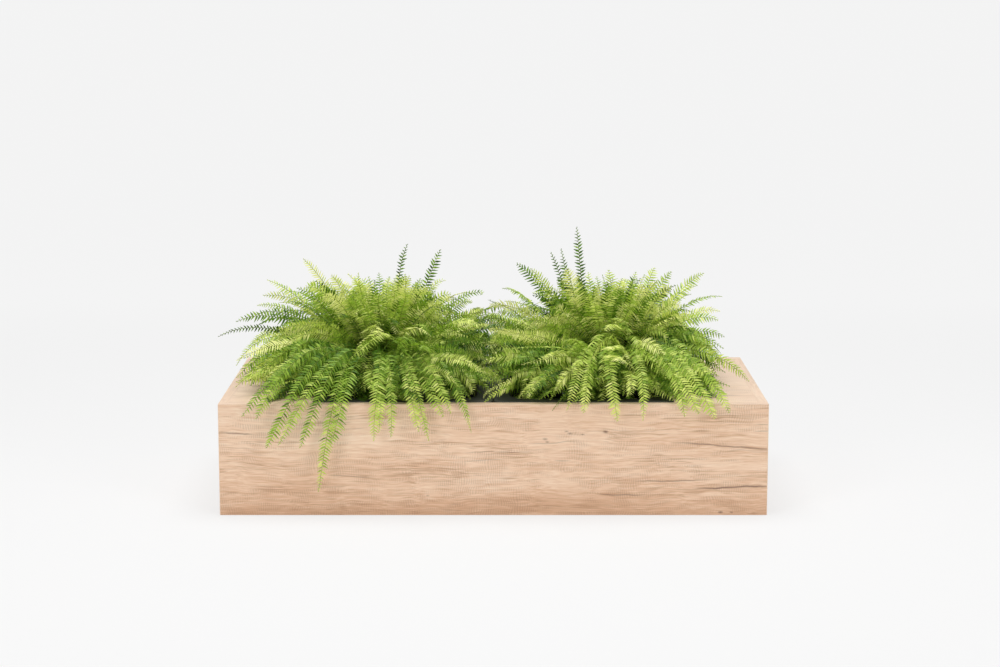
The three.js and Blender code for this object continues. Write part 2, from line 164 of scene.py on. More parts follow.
# How many bends there are in a metre with what detail, and how far they reach.
GRAIN_BENDS = (7, 2)
GRAIN_WANDER = (0, 20 * MM, 20 * MM)
CRACK_BENDS = (20, 4)
CRACK_WANDER = (0, 10 * MM, 10 * MM)
CRACK_HALO = 3.5
SAW_MARK = 3.9 * MM
SAW_LEAN = 6
# Height of the band of painted shade along the foot of the front.
FOOT_SHADE_BAND = 75 * MM
BOARD_ROUGHNESS = (0.38, 0.5)
PORE_DEPTH = 0.3 * MM
OAK_LIGHT = "#f0d8c0"
OAK_TONES = [(0.2, "#bd9170"), (0.385, "#d4ac8c"), (0.5, "#e5c4a7"), (0.635, OAK_LIGHT)]
OAK_LINE = "#a87f5c"
OAK_SAWN = "#8e6a4e"
OAK_CRACK = "#6f5140"

# Cracks on the front: left end, right end (across, height), half thickness and depth of colour.
FRONT_CRACKS = [
    ((318, 137), (520, 121), 1.0, 0.85), ((250, 62), (395, 68), 1.0, 0.75),
    ((362, 51), (520, 54), 1.4, 1.0), ((185, 39), (275, 37), 0.9, 0.8),
    ((-60, 118), (80, 116), 0.7, 0.5), ((470, 157), (530, 155), 0.7, 0.6),
    ((470, 170), (530, 168), 0.7, 0.5), ((-497, 154), (-432, 151), 1.2, 0.8),
    ((-305, 76), (-214, 70), 0.9, 0.6), ((-60, 101), (30, 104), 0.7, 0.4),
    ((60, 132), (160, 138), 0.8, 0.45),
]
# Small knots on the front: place (across, height), radius and depth of colour.
FRONT_KNOTS = [
    ((204, 155), 3.2, 0.85), ((162, 151), 2.0, 0.6), ((139, 152), 2.8, 0.55),
    ((133, 156), 2.2, 0.5), ((94, 142), 3.0, 0.5), ((98, 137), 2.4, 0.5),
    ((415, 5), 3.0, 0.75), ((435, 6), 2.2, 0.6), ((-120, 36), 2.2, 0.4),
]
# The same on the two ends of the top, as places across and to the back.
TOP_CRACKS = [((395, -160), (462, -168), 1.6, 0.8), ((-470, 60), (-390, 55), 1.2, 0.5)]
TOP_KNOTS = [((388, -142), 5.0, 0.75), ((-420, 150), 4.0, 0.5)]

# %% Build the oak décor


def squeezed_noise(tree, place, across, along, detail, roughness=0.55):
    """Noise whose grains are `across` wide and `along` times longer in X."""
    stretched = add_node(tree, "Mapping", {
        "Vector": place, "Scale": (1 / (across * along), 1 / across, 1 / across)})
    return add_node(tree, "TexNoise", [stretched, 1, detail, roughness])


def mark_place(tree, face, middle, half_width, half_height, slant):
    """The face's places as seen from a slanting mark: -1 to 1 across its width and its height."""
    return add_node(tree, "Mapping", {
        "Vector": face, "Location": (middle[0] * MM, middle[1] * MM, 0), "Rotation": (0, 0, slant),
        "Scale": (half_width * MM, half_height * MM, 1)}, vector_type="TEXTURE")


def crack_mask(tree, face, crack):
    """A crack: (1 - distance)^3 off its slanting line, fading over the last quarter at each end."""
    (left, left_up), (right, right_up), half_thickness, depth = crack
    middle = ((left + right) / 2, (left_up + right_up) / 2)
    place = mark_place(tree, face, middle, (right - left) / 2, CRACK_HALO * half_thickness,
                       math.atan2(right_up - left_up, right - left))
    off = add_node(tree, "VectorMath", [place], operation="ABSOLUTE")
    off = add_node(tree, "SeparateXYZ", [off]).outputs
    within = add_node(tree, "MapRange", [off["X"], 1, 0.5, 0, depth])
    near = add_node(tree, "MapRange", [off["Y"], 1, 0])
    sharp = add_node(tree, "Math", [near, 3], operation="POWER")
    return add_node(tree, "Math", [sharp, within], operation="MULTIPLY")


def knot_mask(tree, face, knot):
    """A knot: darkest in the middle, fading at its radius, and twice as wide as it is high."""
    middle, radius, depth = knot
    place = mark_place(tree, face, middle, 2 * radius, radius, 0)
    off = add_node(tree, "VectorMath", [place], operation="LENGTH")
    return add_node(tree, "MapRange", [off, 1, 0.2, 0, depth])


def oak_decor(name, turn=0.0, shift=0.0, cracks=(), knots=(), up_axis="Z", painted_light=0.0, heart=0.0):
    """Oak-décor melamine with its grain along X, turned about Z for boards that run along Y.

    `heart` is painted shade: it darkens a band along the lower edge, where less light reaches the
    foot.
    """
    material, tree, own = new_material(name)
    place = add_node(tree, "Mapping", {
        "Vector": own, "Rotation": (0, 0, turn), "Location": (shift, shift, shift)})
    bend = add_node(tree, "TexNoise", [own, *GRAIN_BENDS]).outputs["Color"]
    place = add_node(tree, "VectorMath", [bend, GRAIN_WANDER, place], operation="MULTIPLY_ADD")

    band = squeezed_noise(tree, place, *GRAIN_BAND)
    fibre = squeezed_noise(tree, place, *FIBRE)
    fine = squeezed_noise(tree, place, *FINE_FIBRE)
    grain = add_node(tree, "CombineXYZ", [band, fibre, fine])
    tone = add_node(tree, "VectorMath", [grain, GRAIN_WEIGHTS], operation="DOT_PRODUCT")
    height = add_node(tree, "SeparateXYZ", [own]).outputs["Z"]
    # Painted shade: the tone darkens towards the foot of the board.
    painted_foot_shade = add_node(tree, "MapRange", [height, FOOT_SHADE_BAND, 0, 0, heart])
    tone = add_node(tree, "Math", [tone, painted_foot_shade], operation="SUBTRACT")
    wood = add_node(tree, "ValToRGB", [tone], stops=OAK_TONES)

    streak = squeezed_noise(tree, place, *STREAK)
    streak_bed = squeezed_noise(tree, place, *STREAK_BED)
    streaky = add_node(tree, "Math", [streak, streak_bed], operation="MULTIPLY")
    streaks = add_node(tree, "MapRange", [streaky, *STREAKS_SHOW])
    lined = add_node(tree, "Mix", [streaks, wood, OAK_LINE], data_type="RGBA")

    along = add_node(tree, "SeparateXYZ", [place]).outputs["X"]
    waver = squeezed_noise(tree, place, *SAW_WAVER)
    lean = add_node(tree, "Math", [waver, SAW_LEAN], operation="MULTIPLY")
    phase = add_node(tree, "Math", [along, 1 / SAW_MARK, lean], operation="MULTIPLY_ADD")
    wave = add_node(tree, "Math", [phase, 0.5], operation="PINGPONG")
    saw_row = squeezed_noise(tree, place, *SAW_ROW)
    saw_patch = squeezed_noise(tree, place, *SAW_PATCH)
    sawn_here = add_node(tree, "Math", [saw_row, saw_patch], operation="MULTIPLY")
    strength = add_node(tree, "MapRange", [sawn_here, *SAW_MARKS_SHOW])
    saw_depth = add_node(tree, "Math", [wave, strength], operation="MULTIPLY")
    sawn = add_node(tree, "Mix", [saw_depth, lined, OAK_SAWN], data_type="RGBA")

    bend = add_node(tree, "TexNoise", [own, *CRACK_BENDS]).outputs["Color"]
    bend = add_node(tree, "VectorMath", [bend, (0.5, 0.5, 0.5)], operation="SUBTRACT")
    bent = add_node(tree, "VectorMath", [bend, CRACK_WANDER, own], operation="MULTIPLY_ADD")
    bent = add_node(tree, "SeparateXYZ", [bent]).outputs
    face = add_node(tree, "CombineXYZ", [bent["X"], bent[up_axis]])
    stray = squeezed_noise(tree, place, *STRAY_CRACK)
    marks = add_node(tree, "MapRange", [stray, *STRAY_CRACKS_SHOW])
    masks = [crack_mask(tree, face, crack) for crack in cracks]
    masks += [knot_mask(tree, face, knot) for knot in knots]
    for mask in masks:
        marks = add_node(tree, "Math", [marks, mask], operation="MAXIMUM")
    cracked = add_node(tree, "Mix", [marks, sawn, OAK_CRACK], data_type="RGBA")
    # Painted light: the colour pales towards OAK_LIGHT on faces that catch the light from above.
    colour = add_node(tree, "Mix", [painted_light, cracked, OAK_LIGHT], data_type="RGBA")

    relief = add_node(tree, "Math", [fine, marks], operation="SUBTRACT")
    roughness = add_node(tree, "MapRange", [fibre, 0, 1, *BOARD_ROUGHNESS])
    finish_material(tree, relief, 0.12, PORE_DEPTH, {
        "Base Color": colour, "Roughness": roughness, "IOR": 1.5})
    return material


QUARTER_TURN = math.pi / 2
# The front takes painted shade along its foot.
oak_front = oak_decor("oak_decor_front", shift=1.15, cracks=FRONT_CRACKS, knots=FRONT_KNOTS,
                      heart=0.14)
# The top boards are painted paler, as light from above falls on them.
oak_top = oak_decor("oak_decor_top", shift=0.37, painted_light=0.3, cracks=TOP_CRACKS, knots=TOP_KNOTS,
                    up_axis="Y")
oak_back = oak_decor("oak_decor_back", shift=1.9)
oak_end = oak_decor("oak_decor_end", turn=QUARTER_TURN, shift=0.8)
# The edge bands are painted paler: a painted highlight along the upward-facing edges.
oak_band_long = oak_decor("oak_edge_band_long", shift=2.6, painted_light=0.35)
oak_band_short = oak_decor("oak_edge_band_short", turn=QUARTER_TURN, shift=3.1, painted_light=0.35)
print("six oak décor finishes")

# %% [markdown]
# ## Softwood, beech and zinc
# The rails under the liners are planed softwood battens. The dowels are ribbed beech, and the
# screws zinc-plated steel. They are out of sight until a liner is lifted, but each still has its
# own finish: long grain on the softwood, short dark flecks on the beech, and the faint yellowish
# cloudiness of zinc.

# %% Build the hidden finishes
WOOD_GRAIN = 3 * MM
WOOD_FLECK = (0.8 * MM, 6, 1)
FLECKS_SHOW = (0.62, 0.7, 0, 0.5)
ZINC_CLOUDS = (300, 3)
ZINC_TONES = [(0.3, "#a9a89c"), (0.7, "#cfcdbf")]


def plain_wood(name, dark, light, fleck, along, roughness):
    """Unfinished wood: grain noise along X between two colours, with darker flecks."""
    material, tree, own = new_material(name)
    grain = squeezed_noise(tree, own, WOOD_GRAIN, along, 4)
    spots = squeezed_noise(tree, own, *WOOD_FLECK)
    wood = add_node(tree, "ValToRGB", [grain], stops=[(0.35, dark), (0.65, light)])
    flecks = add_node(tree, "MapRange", [spots, *FLECKS_SHOW])
    colour = add_node(tree, "Mix", [flecks, wood, fleck], data_type="RGBA")
    finish_material(tree, grain, 0.2, PORE_DEPTH, {"Base Color": colour, "Roughness": roughness})
    return material


softwood = plain_wood("planed_softwood", "#b98d57", "#e0c293", "#a87b48", 30, 0.65)
beech = plain_wood("beech_dowel", "#b98a5c", "#d3a97c", "#8f6540", 8, 0.6)

zinc, tree, own = new_material("zinc_plated_steel")
cloud = add_node(tree, "TexNoise", [own, *ZINC_CLOUDS])
zinc_colour = add_node(tree, "ValToRGB", [cloud], stops=ZINC_TONES)
surface = add_node(tree, "BsdfPrincipled", {
    "Base Color": zinc_colour, "Metallic": 1.0, "Roughness": 0.32})
add_node(tree, "OutputMaterial", [surface])
print("softwood, beech and zinc")

# %% [markdown]
# ## Finish the boards
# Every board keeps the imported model's own mesh. Its single material slot takes the décor whose
# grain runs the way the real board was cut: along the box on the long boards, and front to back
# on the end panels.

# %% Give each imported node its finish
FINISH_OF_SLOT = {
    "plain_batten": softwood,
    "beech_dowel": beech,
    "zinc_screw": zinc,
}
FINISH_OF_NODE = {
    "front_panel": oak_front,
    "back_panel": oak_back,
    "left_end_panel": oak_end,
    "right_end_panel": oak_end,
    "left_partition": oak_end,
    "right_partition": oak_end,
    "base_panel": oak_back,
    "left_top_board": oak_top,
    "right_top_board": oak_top,
    "front_panel_top_band": oak_band_long,
    "back_panel_top_band": oak_band_long,
}
node_slot = {row["node"]: row["material_slot"] for row in frame["record"]["subparts"]}
for name, obj in frame["nodes"].items():
    finish = FINISH_OF_NODE.get(name) or FINISH_OF_SLOT.get(node_slot[name], oak_band_short)
    obj.data.materials.clear()
    obj.data.materials.append(finish)
print("finished", len(frame["nodes"]), "packed nodes")

# %% [markdown]
# ## Meshes from grids
# Most new pieces are grids of points: rings along a profile, or rows along a leaf. One function
# turns a grid into faces, another turns points and faces into an object. Points that close on
# themselves share their last column with the first.

# %% Grid helpers


def grid_faces(rows, columns, closed, start=0):
    """Quads between neighbouring rows and columns of a grid of points numbered row by row."""
    row = np.arange(rows - 1)[:, None]
    column = np.arange(columns if closed else columns - 1)[None, :]
    beside = (column + 1) % columns
    first = start + row * columns
    quads = np.stack([first + column, first + beside,
                      first + columns + beside, first + columns + column], -1)
    return quads.reshape(-1, 4)


def make_piece(name, points, faces, material, smooth=True):
    """A mesh object from an array of points and a list of faces."""
    mesh = bpy.data.meshes.new(name)
    mesh.from_pydata(np.asarray(points, float).tolist(), [], faces)
    mesh.polygons.foreach_set("use_smooth", [smooth] * len(mesh.polygons))
    mesh.materials.append(material)
    mesh.update()
    obj = bpy.data.objects.new(name, mesh)
    bpy.context.scene.collection.objects.link(obj)
    return obj


def closed_rings(rings):
    """Points and faces of a solid skinned over rings, shape (rings, points, 3), with flat ends."""
    count, around = rings.shape[:2]
    faces = grid_faces(count, around, True).tolist()
    faces.append(list(range(around))[::-1])
    faces.append(list(range((count - 1) * around, count * around)))
    return rings.reshape(-1, 3), faces


# %% [markdown]
# ## Black moulded plastic
# The liners are injection-moulded polypropylene with a fine spark-eroded grain, and the pots thin
# thermoformed polypropylene. Both are near black, and take a soft grey sheen where they are seen
# at a low angle. A little dust and dried water dulls them in patches.

# %% Build the plastics
# A noise's scale per metre, its detail and its roughness.
DUST_PATCHES = (18, 5, 0.65)


def moulded_plastic(name, dark, dusty, roughness, grain_size, grain_depth):
    """Black plastic: a patchy dust colour, and fine grain as bump. Roughness is least and most."""
    material, tree, own = new_material(name)
    patch = add_node(tree, "TexNoise", [own, *DUST_PATCHES])
    colour = add_node(tree, "ValToRGB", [patch], stops=[(0.45, dark), (0.75, dusty)])
    grain = add_node(tree, "TexNoise", [own, 1 / grain_size, 2])
    rough = add_node(tree, "MapRange", [patch, 0, 1, *roughness])
    finish_material(tree, grain, 0.35, grain_depth, {
        "Base Color": colour, "Roughness": rough, "IOR": 1.49})
    return material


liner_plastic = moulded_plastic(
    "moulded_polypropylene", "#1d1d1b", "#2f2e2a", (0.34, 0.54), 0.9 * MM, 0.06 * MM)
pot_plastic = moulded_plastic(
    "thermoformed_pot_plastic", "#151514", "#26241f", (0.42, 0.62), 0.7 * MM, 0.04 * MM)

# %% [markdown]
# ## The liners
# Each liner is a deep tray with a broad flat rim that turns down at its edge and rests on the
# rails. It is skinned over level rings with rounded corners: up the outside, round the lip and
# rim, and down the inside to the floor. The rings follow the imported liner, with finer corners.

# %% Model the liners
RIM_WIDTH = 30 * MM
RIM_THICKNESS = 3 * MM
LIP_HEIGHT = 10 * MM
LIP_THICKNESS = 2.5 * MM
LINER_WALL = 2.5 * MM
LINER_FLOOR = 3 * MM
LINER_DRAFT = math.radians(2.5)
BODY_CORNER = 38 * MM
RIM_CORNER = 9 * MM
EDGE_ROUND = 1.4 * MM
CORNER_STEPS = 12
EDGE_STEPS = 4


def rounded_ring(middle, half_x, half_y, radius, height):
    """A level ring: four quarter circles of that radius, joined by straight sides."""
    quarter = np.linspace(0, math.pi / 2, CORNER_STEPS + 1)
    angles = (quarter[None, :] + np.arange(4)[:, None] * math.pi / 2).reshape(-1)
    corner_x = np.repeat([1, -1, -1, 1], CORNER_STEPS + 1) * (half_x - radius)
    corner_y = np.repeat([1, 1, -1, -1], CORNER_STEPS + 1) * (half_y - radius)
    x = middle[0] + corner_x + radius * np.cos(angles)
    y = middle[1] + corner_y + radius * np.sin(angles)
    return np.stack([x, y, np.full_like(x, height)], -1)


def quarter_rows(inset, height, corner, start, end):
    """Rows along a rounded edge: inset and height run round a small circle between two angles."""
    angles = np.radians(np.linspace(start, end, EDGE_STEPS + 1))
    return [(inset - EDGE_ROUND * math.cos(a), height + EDGE_ROUND * math.sin(a),
             corner + EDGE_ROUND * math.cos(a)) for a in angles]


def make_liner(side):
    """The liner of one side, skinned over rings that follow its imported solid."""
    low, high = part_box(f"{side}_liner")
    half_x, half_y = (high.x - low.x) / 2, (high.y - low.y) / 2
    middle = ((low.x + high.x) / 2, (low.y + high.y) / 2)
    top, foot = high.z, low.z
    under_rim = top - RIM_THICKNESS
    taper = math.tan(LINER_DRAFT) * (top - foot - RIM_THICKNESS)
    inner_corner = BODY_CORNER - LINER_WALL
    foot_inset = RIM_WIDTH - LINER_WALL + taper
    rows = [
        (foot_inset + 4 * EDGE_ROUND, foot, BODY_CORNER - 4 * EDGE_ROUND),
        (foot_inset + EDGE_ROUND, foot + 0.3 * EDGE_ROUND, BODY_CORNER - EDGE_ROUND),
        (foot_inset, foot + EDGE_ROUND, BODY_CORNER),
        (RIM_WIDTH - LINER_WALL, under_rim, BODY_CORNER),
        (LIP_THICKNESS, under_rim, RIM_CORNER - LIP_THICKNESS),
        (LIP_THICKNESS, top - LIP_HEIGHT, RIM_CORNER - LIP_THICKNESS),
        (0.0, top - LIP_HEIGHT, RIM_CORNER),
        *quarter_rows(EDGE_ROUND, top - EDGE_ROUND, RIM_CORNER - EDGE_ROUND, 0, 90),
        *quarter_rows(RIM_WIDTH - EDGE_ROUND, top - EDGE_ROUND, inner_corner + EDGE_ROUND, 90, 180),
        (RIM_WIDTH + taper, foot + LINER_FLOOR + EDGE_ROUND, inner_corner),
        (RIM_WIDTH + taper + EDGE_ROUND, foot + LINER_FLOOR, inner_corner - EDGE_ROUND),
    ]
    rings = np.array([rounded_ring(middle, half_x - inset, half_y - inset, corner, height)
                      for inset, height, corner in rows])
    points, faces = closed_rings(rings)
    liner = make_piece(f"{side}_moulded_liner", points, faces, liner_plastic)
    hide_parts(f"{side}_liner")
    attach(liner, f"{side}_liner")
    print(liner.name, len(faces), "faces")


for side in ("left", "right"):
    make_liner(side)

# %% [markdown]
# ## Pots and compost
# The ferns keep the pots they were grown in: thin tapered cups with a stepped band under the rim
# and four slots in the floor for drainage. The cup is a profile turned about its axis. Where a
# slot lies, the two faces of the floor are left out and joined by short walls. The compost is a
# turned plug whose top is pushed up and down by a sum of random waves, so that it looks crumbly.

# %% Model pots and compost
POT_SECTORS = 88
POT_WALL = 2 * MM
POT_BAND = 14 * MM
POT_BAND_PROUD = 2.5 * MM
DRAIN_INNER = 30 * MM
DRAIN_OUTER = 40 * MM
DRAIN_SECTORS = 4
DRAIN_SLOTS = 4
POT_TAPER = 122 / 160
POT_EDGE = 0.6 * MM
AXIS = 0.001 * MM
PLUG_SECTORS = 96
PLUG_TAPER = 0.78
PLUG_CROWN = 5 * MM
PLUG_TIP = 0.5 * MM
COMPOST_LUMP = 2.2 * MM
CRUMBLE_FADE = 8 * MM
CRUMB_WAVES = 26
LONGEST_CRUMB = 30 * MM
SHORTEST_CRUMB = 5 * MM
CRUMB_DEPTH = 1.2 * MM
CRUMBLE_SINK = 0.4
CRUMBS = (420, 5, 0.7)
PEAT_TONES = [(0.35, "#1e1510"), (0.52, "#3b2a1d"), (0.72, "#5a4531")]
PERLITE = "#b9b2a4"
PERLITE_GRAINS = 160
PERLITE_SHOWS = (0.16, 0.12, 0, 0.8)


def turned(profile, centre, sectors):
    """A profile of (radius, height) points turned about an upright axis, as rings of points."""
    angle = np.linspace(0, 2 * math.pi, sectors, endpoint=False)
    profile = np.asarray(profile, float)
    x = centre[0] + profile[:, :1] * np.cos(angle)
    y = centre[1] + profile[:, :1] * np.sin(angle)
    z = np.repeat(profile[:, 1:], sectors, 1)
    return np.stack([x, y, z], -1)


def make_pot(side):
    """The nursery pot: outside from the floor up, over the rim, and down the inside.

    Each slot is walled by quads between its outline in the lower and in the upper floor face.
    """
    low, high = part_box(f"{side}_pot")
    centre = ((low.x + high.x) / 2, (low.y + high.y) / 2)
    foot, top = low.z, high.z
    rim = (high.x - low.x) / 2
    mouth = rim - POT_BAND_PROUD
    base = mouth * POT_TAPER
    step = base + (mouth - base) * (1 - POT_BAND / (top - foot))
    small = POT_EDGE
    profile = [
        (AXIS, foot), (DRAIN_INNER, foot), (DRAIN_OUTER, foot), (base - 2 * small, foot),
        (base, foot + 2 * small), (step, top - POT_BAND), (step + POT_BAND_PROUD, top - POT_BAND),
        (rim - small, top - small), (rim - 2 * small, top), (mouth - POT_WALL + small, top),
        (mouth - POT_WALL, top - small), (step - POT_WALL, top - POT_BAND),
        (base - POT_WALL, foot + POT_WALL + small), (base - POT_WALL - small, foot + POT_WALL),
        (DRAIN_OUTER, foot + POT_WALL), (DRAIN_INNER, foot + POT_WALL), (AXIS, foot + POT_WALL)]
    rings = turned(profile, centre, POT_SECTORS)
    ring = np.repeat(np.arange(len(profile) - 1), POT_SECTORS)
    sector = np.tile(np.arange(POT_SECTORS), len(profile) - 1)
    spacing = POT_SECTORS // DRAIN_SLOTS
    in_slot = (sector + DRAIN_SECTORS // 2) % spacing < DRAIN_SECTORS
    outer_floor, inner_floor = 1, len(profile) - 3
    open_here = in_slot & ((ring == outer_floor) | (ring == inner_floor))
    faces = grid_faces(len(profile), POT_SECTORS, True)[~open_here].tolist()
    number = np.arange(len(profile) * POT_SECTORS).reshape(len(profile), POT_SECTORS)
    floor_rings = number[[outer_floor, outer_floor + 1, inner_floor, inner_floor + 1]]
    for slot in range(DRAIN_SLOTS):
        columns = slot * spacing - DRAIN_SECTORS // 2 + np.arange(DRAIN_SECTORS + 1)
        below_in, below_out, above_out, above_in = floor_rings[:, columns % POT_SECTORS]
        below = np.concatenate([below_out, below_in[::-1]])
        above = np.concatenate([above_out, above_in[::-1]])
        faces += np.stack([below, np.roll(below, -1), np.roll(above, -1), above], -1).tolist()
    faces += [number[0][::-1].tolist(), number[-1].tolist()]
    pot = make_piece(f"{side}_nursery_pot", rings.reshape(-1, 3), faces, pot_plastic)
    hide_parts(f"{side}_pot")
    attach(pot, f"{side}_plant")


def crumble(x, y, seed):
    """A height between about -1 and 1: sines of random direction, from 30 mm down to 5 mm long."""
    rng = np.random.default_rng(seed)
    height = np.zeros_like(x)
    for wave in range(CRUMB_WAVES):
        share = (SHORTEST_CRUMB / LONGEST_CRUMB) ** rng.random()
        angle = rng.random() * 2 * math.pi
        along = x * math.cos(angle) + y * math.sin(angle)
        phase = along / (LONGEST_CRUMB * share) + rng.random()
        height += np.sin(2 * math.pi * phase) * share ** 0.5
    return height / 4


compost_material, tree, own = new_material("peaty_compost")
crumbs = add_node(tree, "TexNoise", [own, *CRUMBS])
peat = add_node(tree, "ValToRGB", [crumbs], stops=PEAT_TONES)
grit = add_node(tree, "TexVoronoi", [own, PERLITE_GRAINS])
perlite = add_node(tree, "MapRange", [grit, *PERLITE_SHOWS])
compost_colour = add_node(tree, "Mix", [perlite, peat, PERLITE], data_type="RGBA")
finish_material(tree, crumbs, 0.8, CRUMB_DEPTH, {"Base Color": compost_colour, "Roughness": 0.95})


def make_compost(side, seed):
    """The plug of compost: a turned solid whose top is crumbled between the rim and the crown."""
    low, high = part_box(f"{side}_compost")
    centre = ((low.x + high.x) / 2, (low.y + high.y) / 2)
    edge = (high.x - low.x) / 2
    foot_radius = edge * PLUG_TAPER
    shoulder = high.z - PLUG_CROWN
    top_radii = np.linspace(edge, PLUG_TIP, 34)
    top_heights = shoulder + (high.z - shoulder) * (1 - (top_radii / edge) ** 2)
    profile = [(PLUG_TIP, low.z), (foot_radius, low.z), *zip(top_radii, top_heights)]
    rings = turned(profile, centre, PLUG_SECTORS)
    top = rings[2:]
    fade = np.clip((edge - top_radii) / CRUMBLE_FADE, 0, 1)[:, None]
    top[..., 2] += fade * COMPOST_LUMP * (crumble(top[..., 0], top[..., 1], seed) - CRUMBLE_SINK)
    points, faces = closed_rings(rings)
    plug = make_piece(f"{side}_compost_plug", points, faces, compost_material)
    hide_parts(f"{side}_compost")
    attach(plug, f"{side}_plant")


for seed, side in enumerate(("left", "right")):
    make_pot(side)
    make_compost(side, seed)
print("two pots with compost")

# %% [markdown]
# ## Fern leaf
# A Boston fern's leaflets are thin, slightly glossy above and let a good part of the light through,
# so a frond against the light glows yellow-green. Old fronds are a deep green and new ones nearly
# lime. Each leaflet carries its own tone as an attribute, from 0 for the darkest to 1 for the
# palest: partly its age, and partly painted shade, as fronds that stand in shade are given darker
# tones. A second attribute marks the straw-coloured stalk. The shader mixes a gloss layer with a
# translucent one.

# %% Build the leaf
LEAF_TONES = [
    (0.0, "#1e3707"), (0.3, "#547c1f"), (0.55, "#9fc046"), (0.8, "#dfed7a"), (1.0, "#f7faa4")]
GLOW_TONES = [
    (0.0, "#46690f"), (0.3, "#759c20"), (0.55, "#a3c436"), (0.8, "#ccdc54"), (1.0, "#e8ec80")]
STALK_TONES = [(0.3, "#6f7a2e"), (0.7, "#9aa648")]
MOTTLE = (90, 3)
# How much the mottle changes a leaflet's tone, and what keeps the change even about 0.
MOTTLE_LIFT = (0.24, -0.12)
THROUGH_SHARE = 0.245

leaf, tree, own = new_material("fern_leaf")
# The tone attribute is partly the leaflet's age and partly painted shade.
age_and_shade_tone = add_node(tree, "Attribute", attribute_name="tone").outputs["Fac"]
on_stalk = add_node(tree, "Attribute", attribute_name="stalk").outputs["Fac"]
mottle = add_node(tree, "TexNoise", [own, *MOTTLE])
lift = add_node(tree, "Math", [mottle, *MOTTLE_LIFT], operation="MULTIPLY_ADD")
tone_here = add_node(tree, "Math", [age_and_shade_tone, lift], operation="ADD")
green = add_node(tree, "ValToRGB", [tone_here], stops=LEAF_TONES)
straw = add_node(tree, "ValToRGB", [mottle], stops=STALK_TONES)
leaf_colour = add_node(tree, "Mix", [on_stalk, green, straw], data_type="RGBA")
glow_colour = add_node(tree, "ValToRGB", [tone_here], stops=GLOW_TONES)
bump = add_node(tree, "Bump", {"Strength": 0.25, "Distance": 0.3 * MM, "Height": mottle})
gloss = add_node(tree, "BsdfPrincipled", {
    "Base Color": leaf_colour, "Roughness": 0.42, "Specular IOR Level": 0.28, "Normal": bump})
through = add_node(tree, "BsdfTranslucent", [glow_colour])
surface = add_node(tree, "MixShader", [THROUGH_SHARE, gloss, through])
add_node(tree, "OutputMaterial", [surface])
print("one leaf finish with", len(LEAF_TONES), "tones")

# %% [markdown]
# ## The line of a frond
# A frond climbs from the crown, arches over and falls to its tip. Its centre line is a cubic curve
# in the upright plane through crown and tip. A rising frond keeps its control points over the
# reach, and a hanging frond has its last one past the front edge, so that the tip drops over it.
# The tips of the fronds that make the outline are listed, in millimetres, as distances
# from the crown; the same tips shape the imported ferns.

# %% Describe the fronds
ROOT_RADIUS = 20 * MM
ROOT_HEIGHT = 26 * MM
INWARD_REACH = 209
MIDDLE_CLEARANCE = 4 * MM
OVERHANG = 24
OVERHANG_PER_DROP = 0.06
FIRST_SHARE = 0.25
RISING_LEAN = 0.75
HANGING_LEAN = (0.92, 1.04)
LONG_DROP = 120 * MM
HANGING_SLANT = 0.3
RISING_WIDTH = 1.0
HANGING_WIDTH = 0.9

# Each row: tip outwards along the box, tip to the back, height above the box, rise, tone (age, and
# painted shade for fronds that stand in shade), and the share of a usual frond's width where it
# isn't RISING_WIDTH.
LEFT_RISING = [
    (315, -20, 85, 70, 0.1, 0.7), (280, 0, 115, 60, 0.3), (250, 40, 135, 60, 0.5),
    (235, 60, 155, 50, 0.7), (225, 20, 190, 40, 0.6), (195, -60, 160, 50, 0.75),
    (155, 40, 230, 25, 0.8, 0.8), (125, 60, 170, 50, 0.5), (80, -40, 185, 30, 0.95, 1.1),
    (55, 60, 200, 25, 0.6), (30, 40, 195, 20, 0.5), (-20, 60, 190, 25, 0.55),
    (-35, 40, 260, 10, 0.1, 0.7), (-55, -20, 205, 20, 0.9, 1.2), (-100, 20, 250, 20, 0.15, 0.95),
    (-160, 40, 160, 60, 0.9, 1.1), (-209, 0, 165, 70, 0.35, 0.7), (-175, -60, 160, 50, 0.5),
    (270, -90, 50, 80, 1.0), (265, -130, 25, 95, 0.45), (262, -172, 14, 110, 0.6),
    (-200, -60, 75, 70, 0.35), (-195, -125, 30, 90, 0.3), (-150, -95, 110, 60, 0.45),
    (150, -150, 60, 90, 0.5), (60, -180, 65, 100, 0.6), (-60, -170, 75, 90, 0.45),
    (5, -120, 125, 60, 0.7),
    (110, -60, 175, 40, 0.9, 1.2), (-20, -40, 180, 30, 0.85, 1.3), (60, -100, 130, 50, 0.8, 1.1),
    (170, -90, 110, 65, 0.75, 1.1), (-90, -60, 120, 55, 0.85, 1.2), (-130, 20, 120, 60, 0.7, 1.2),
    (-188, -222, 5, 90, 0.5), (-165, -228, 4, 100, 0.45), (-200, -200, 12, 80, 0.6),
]
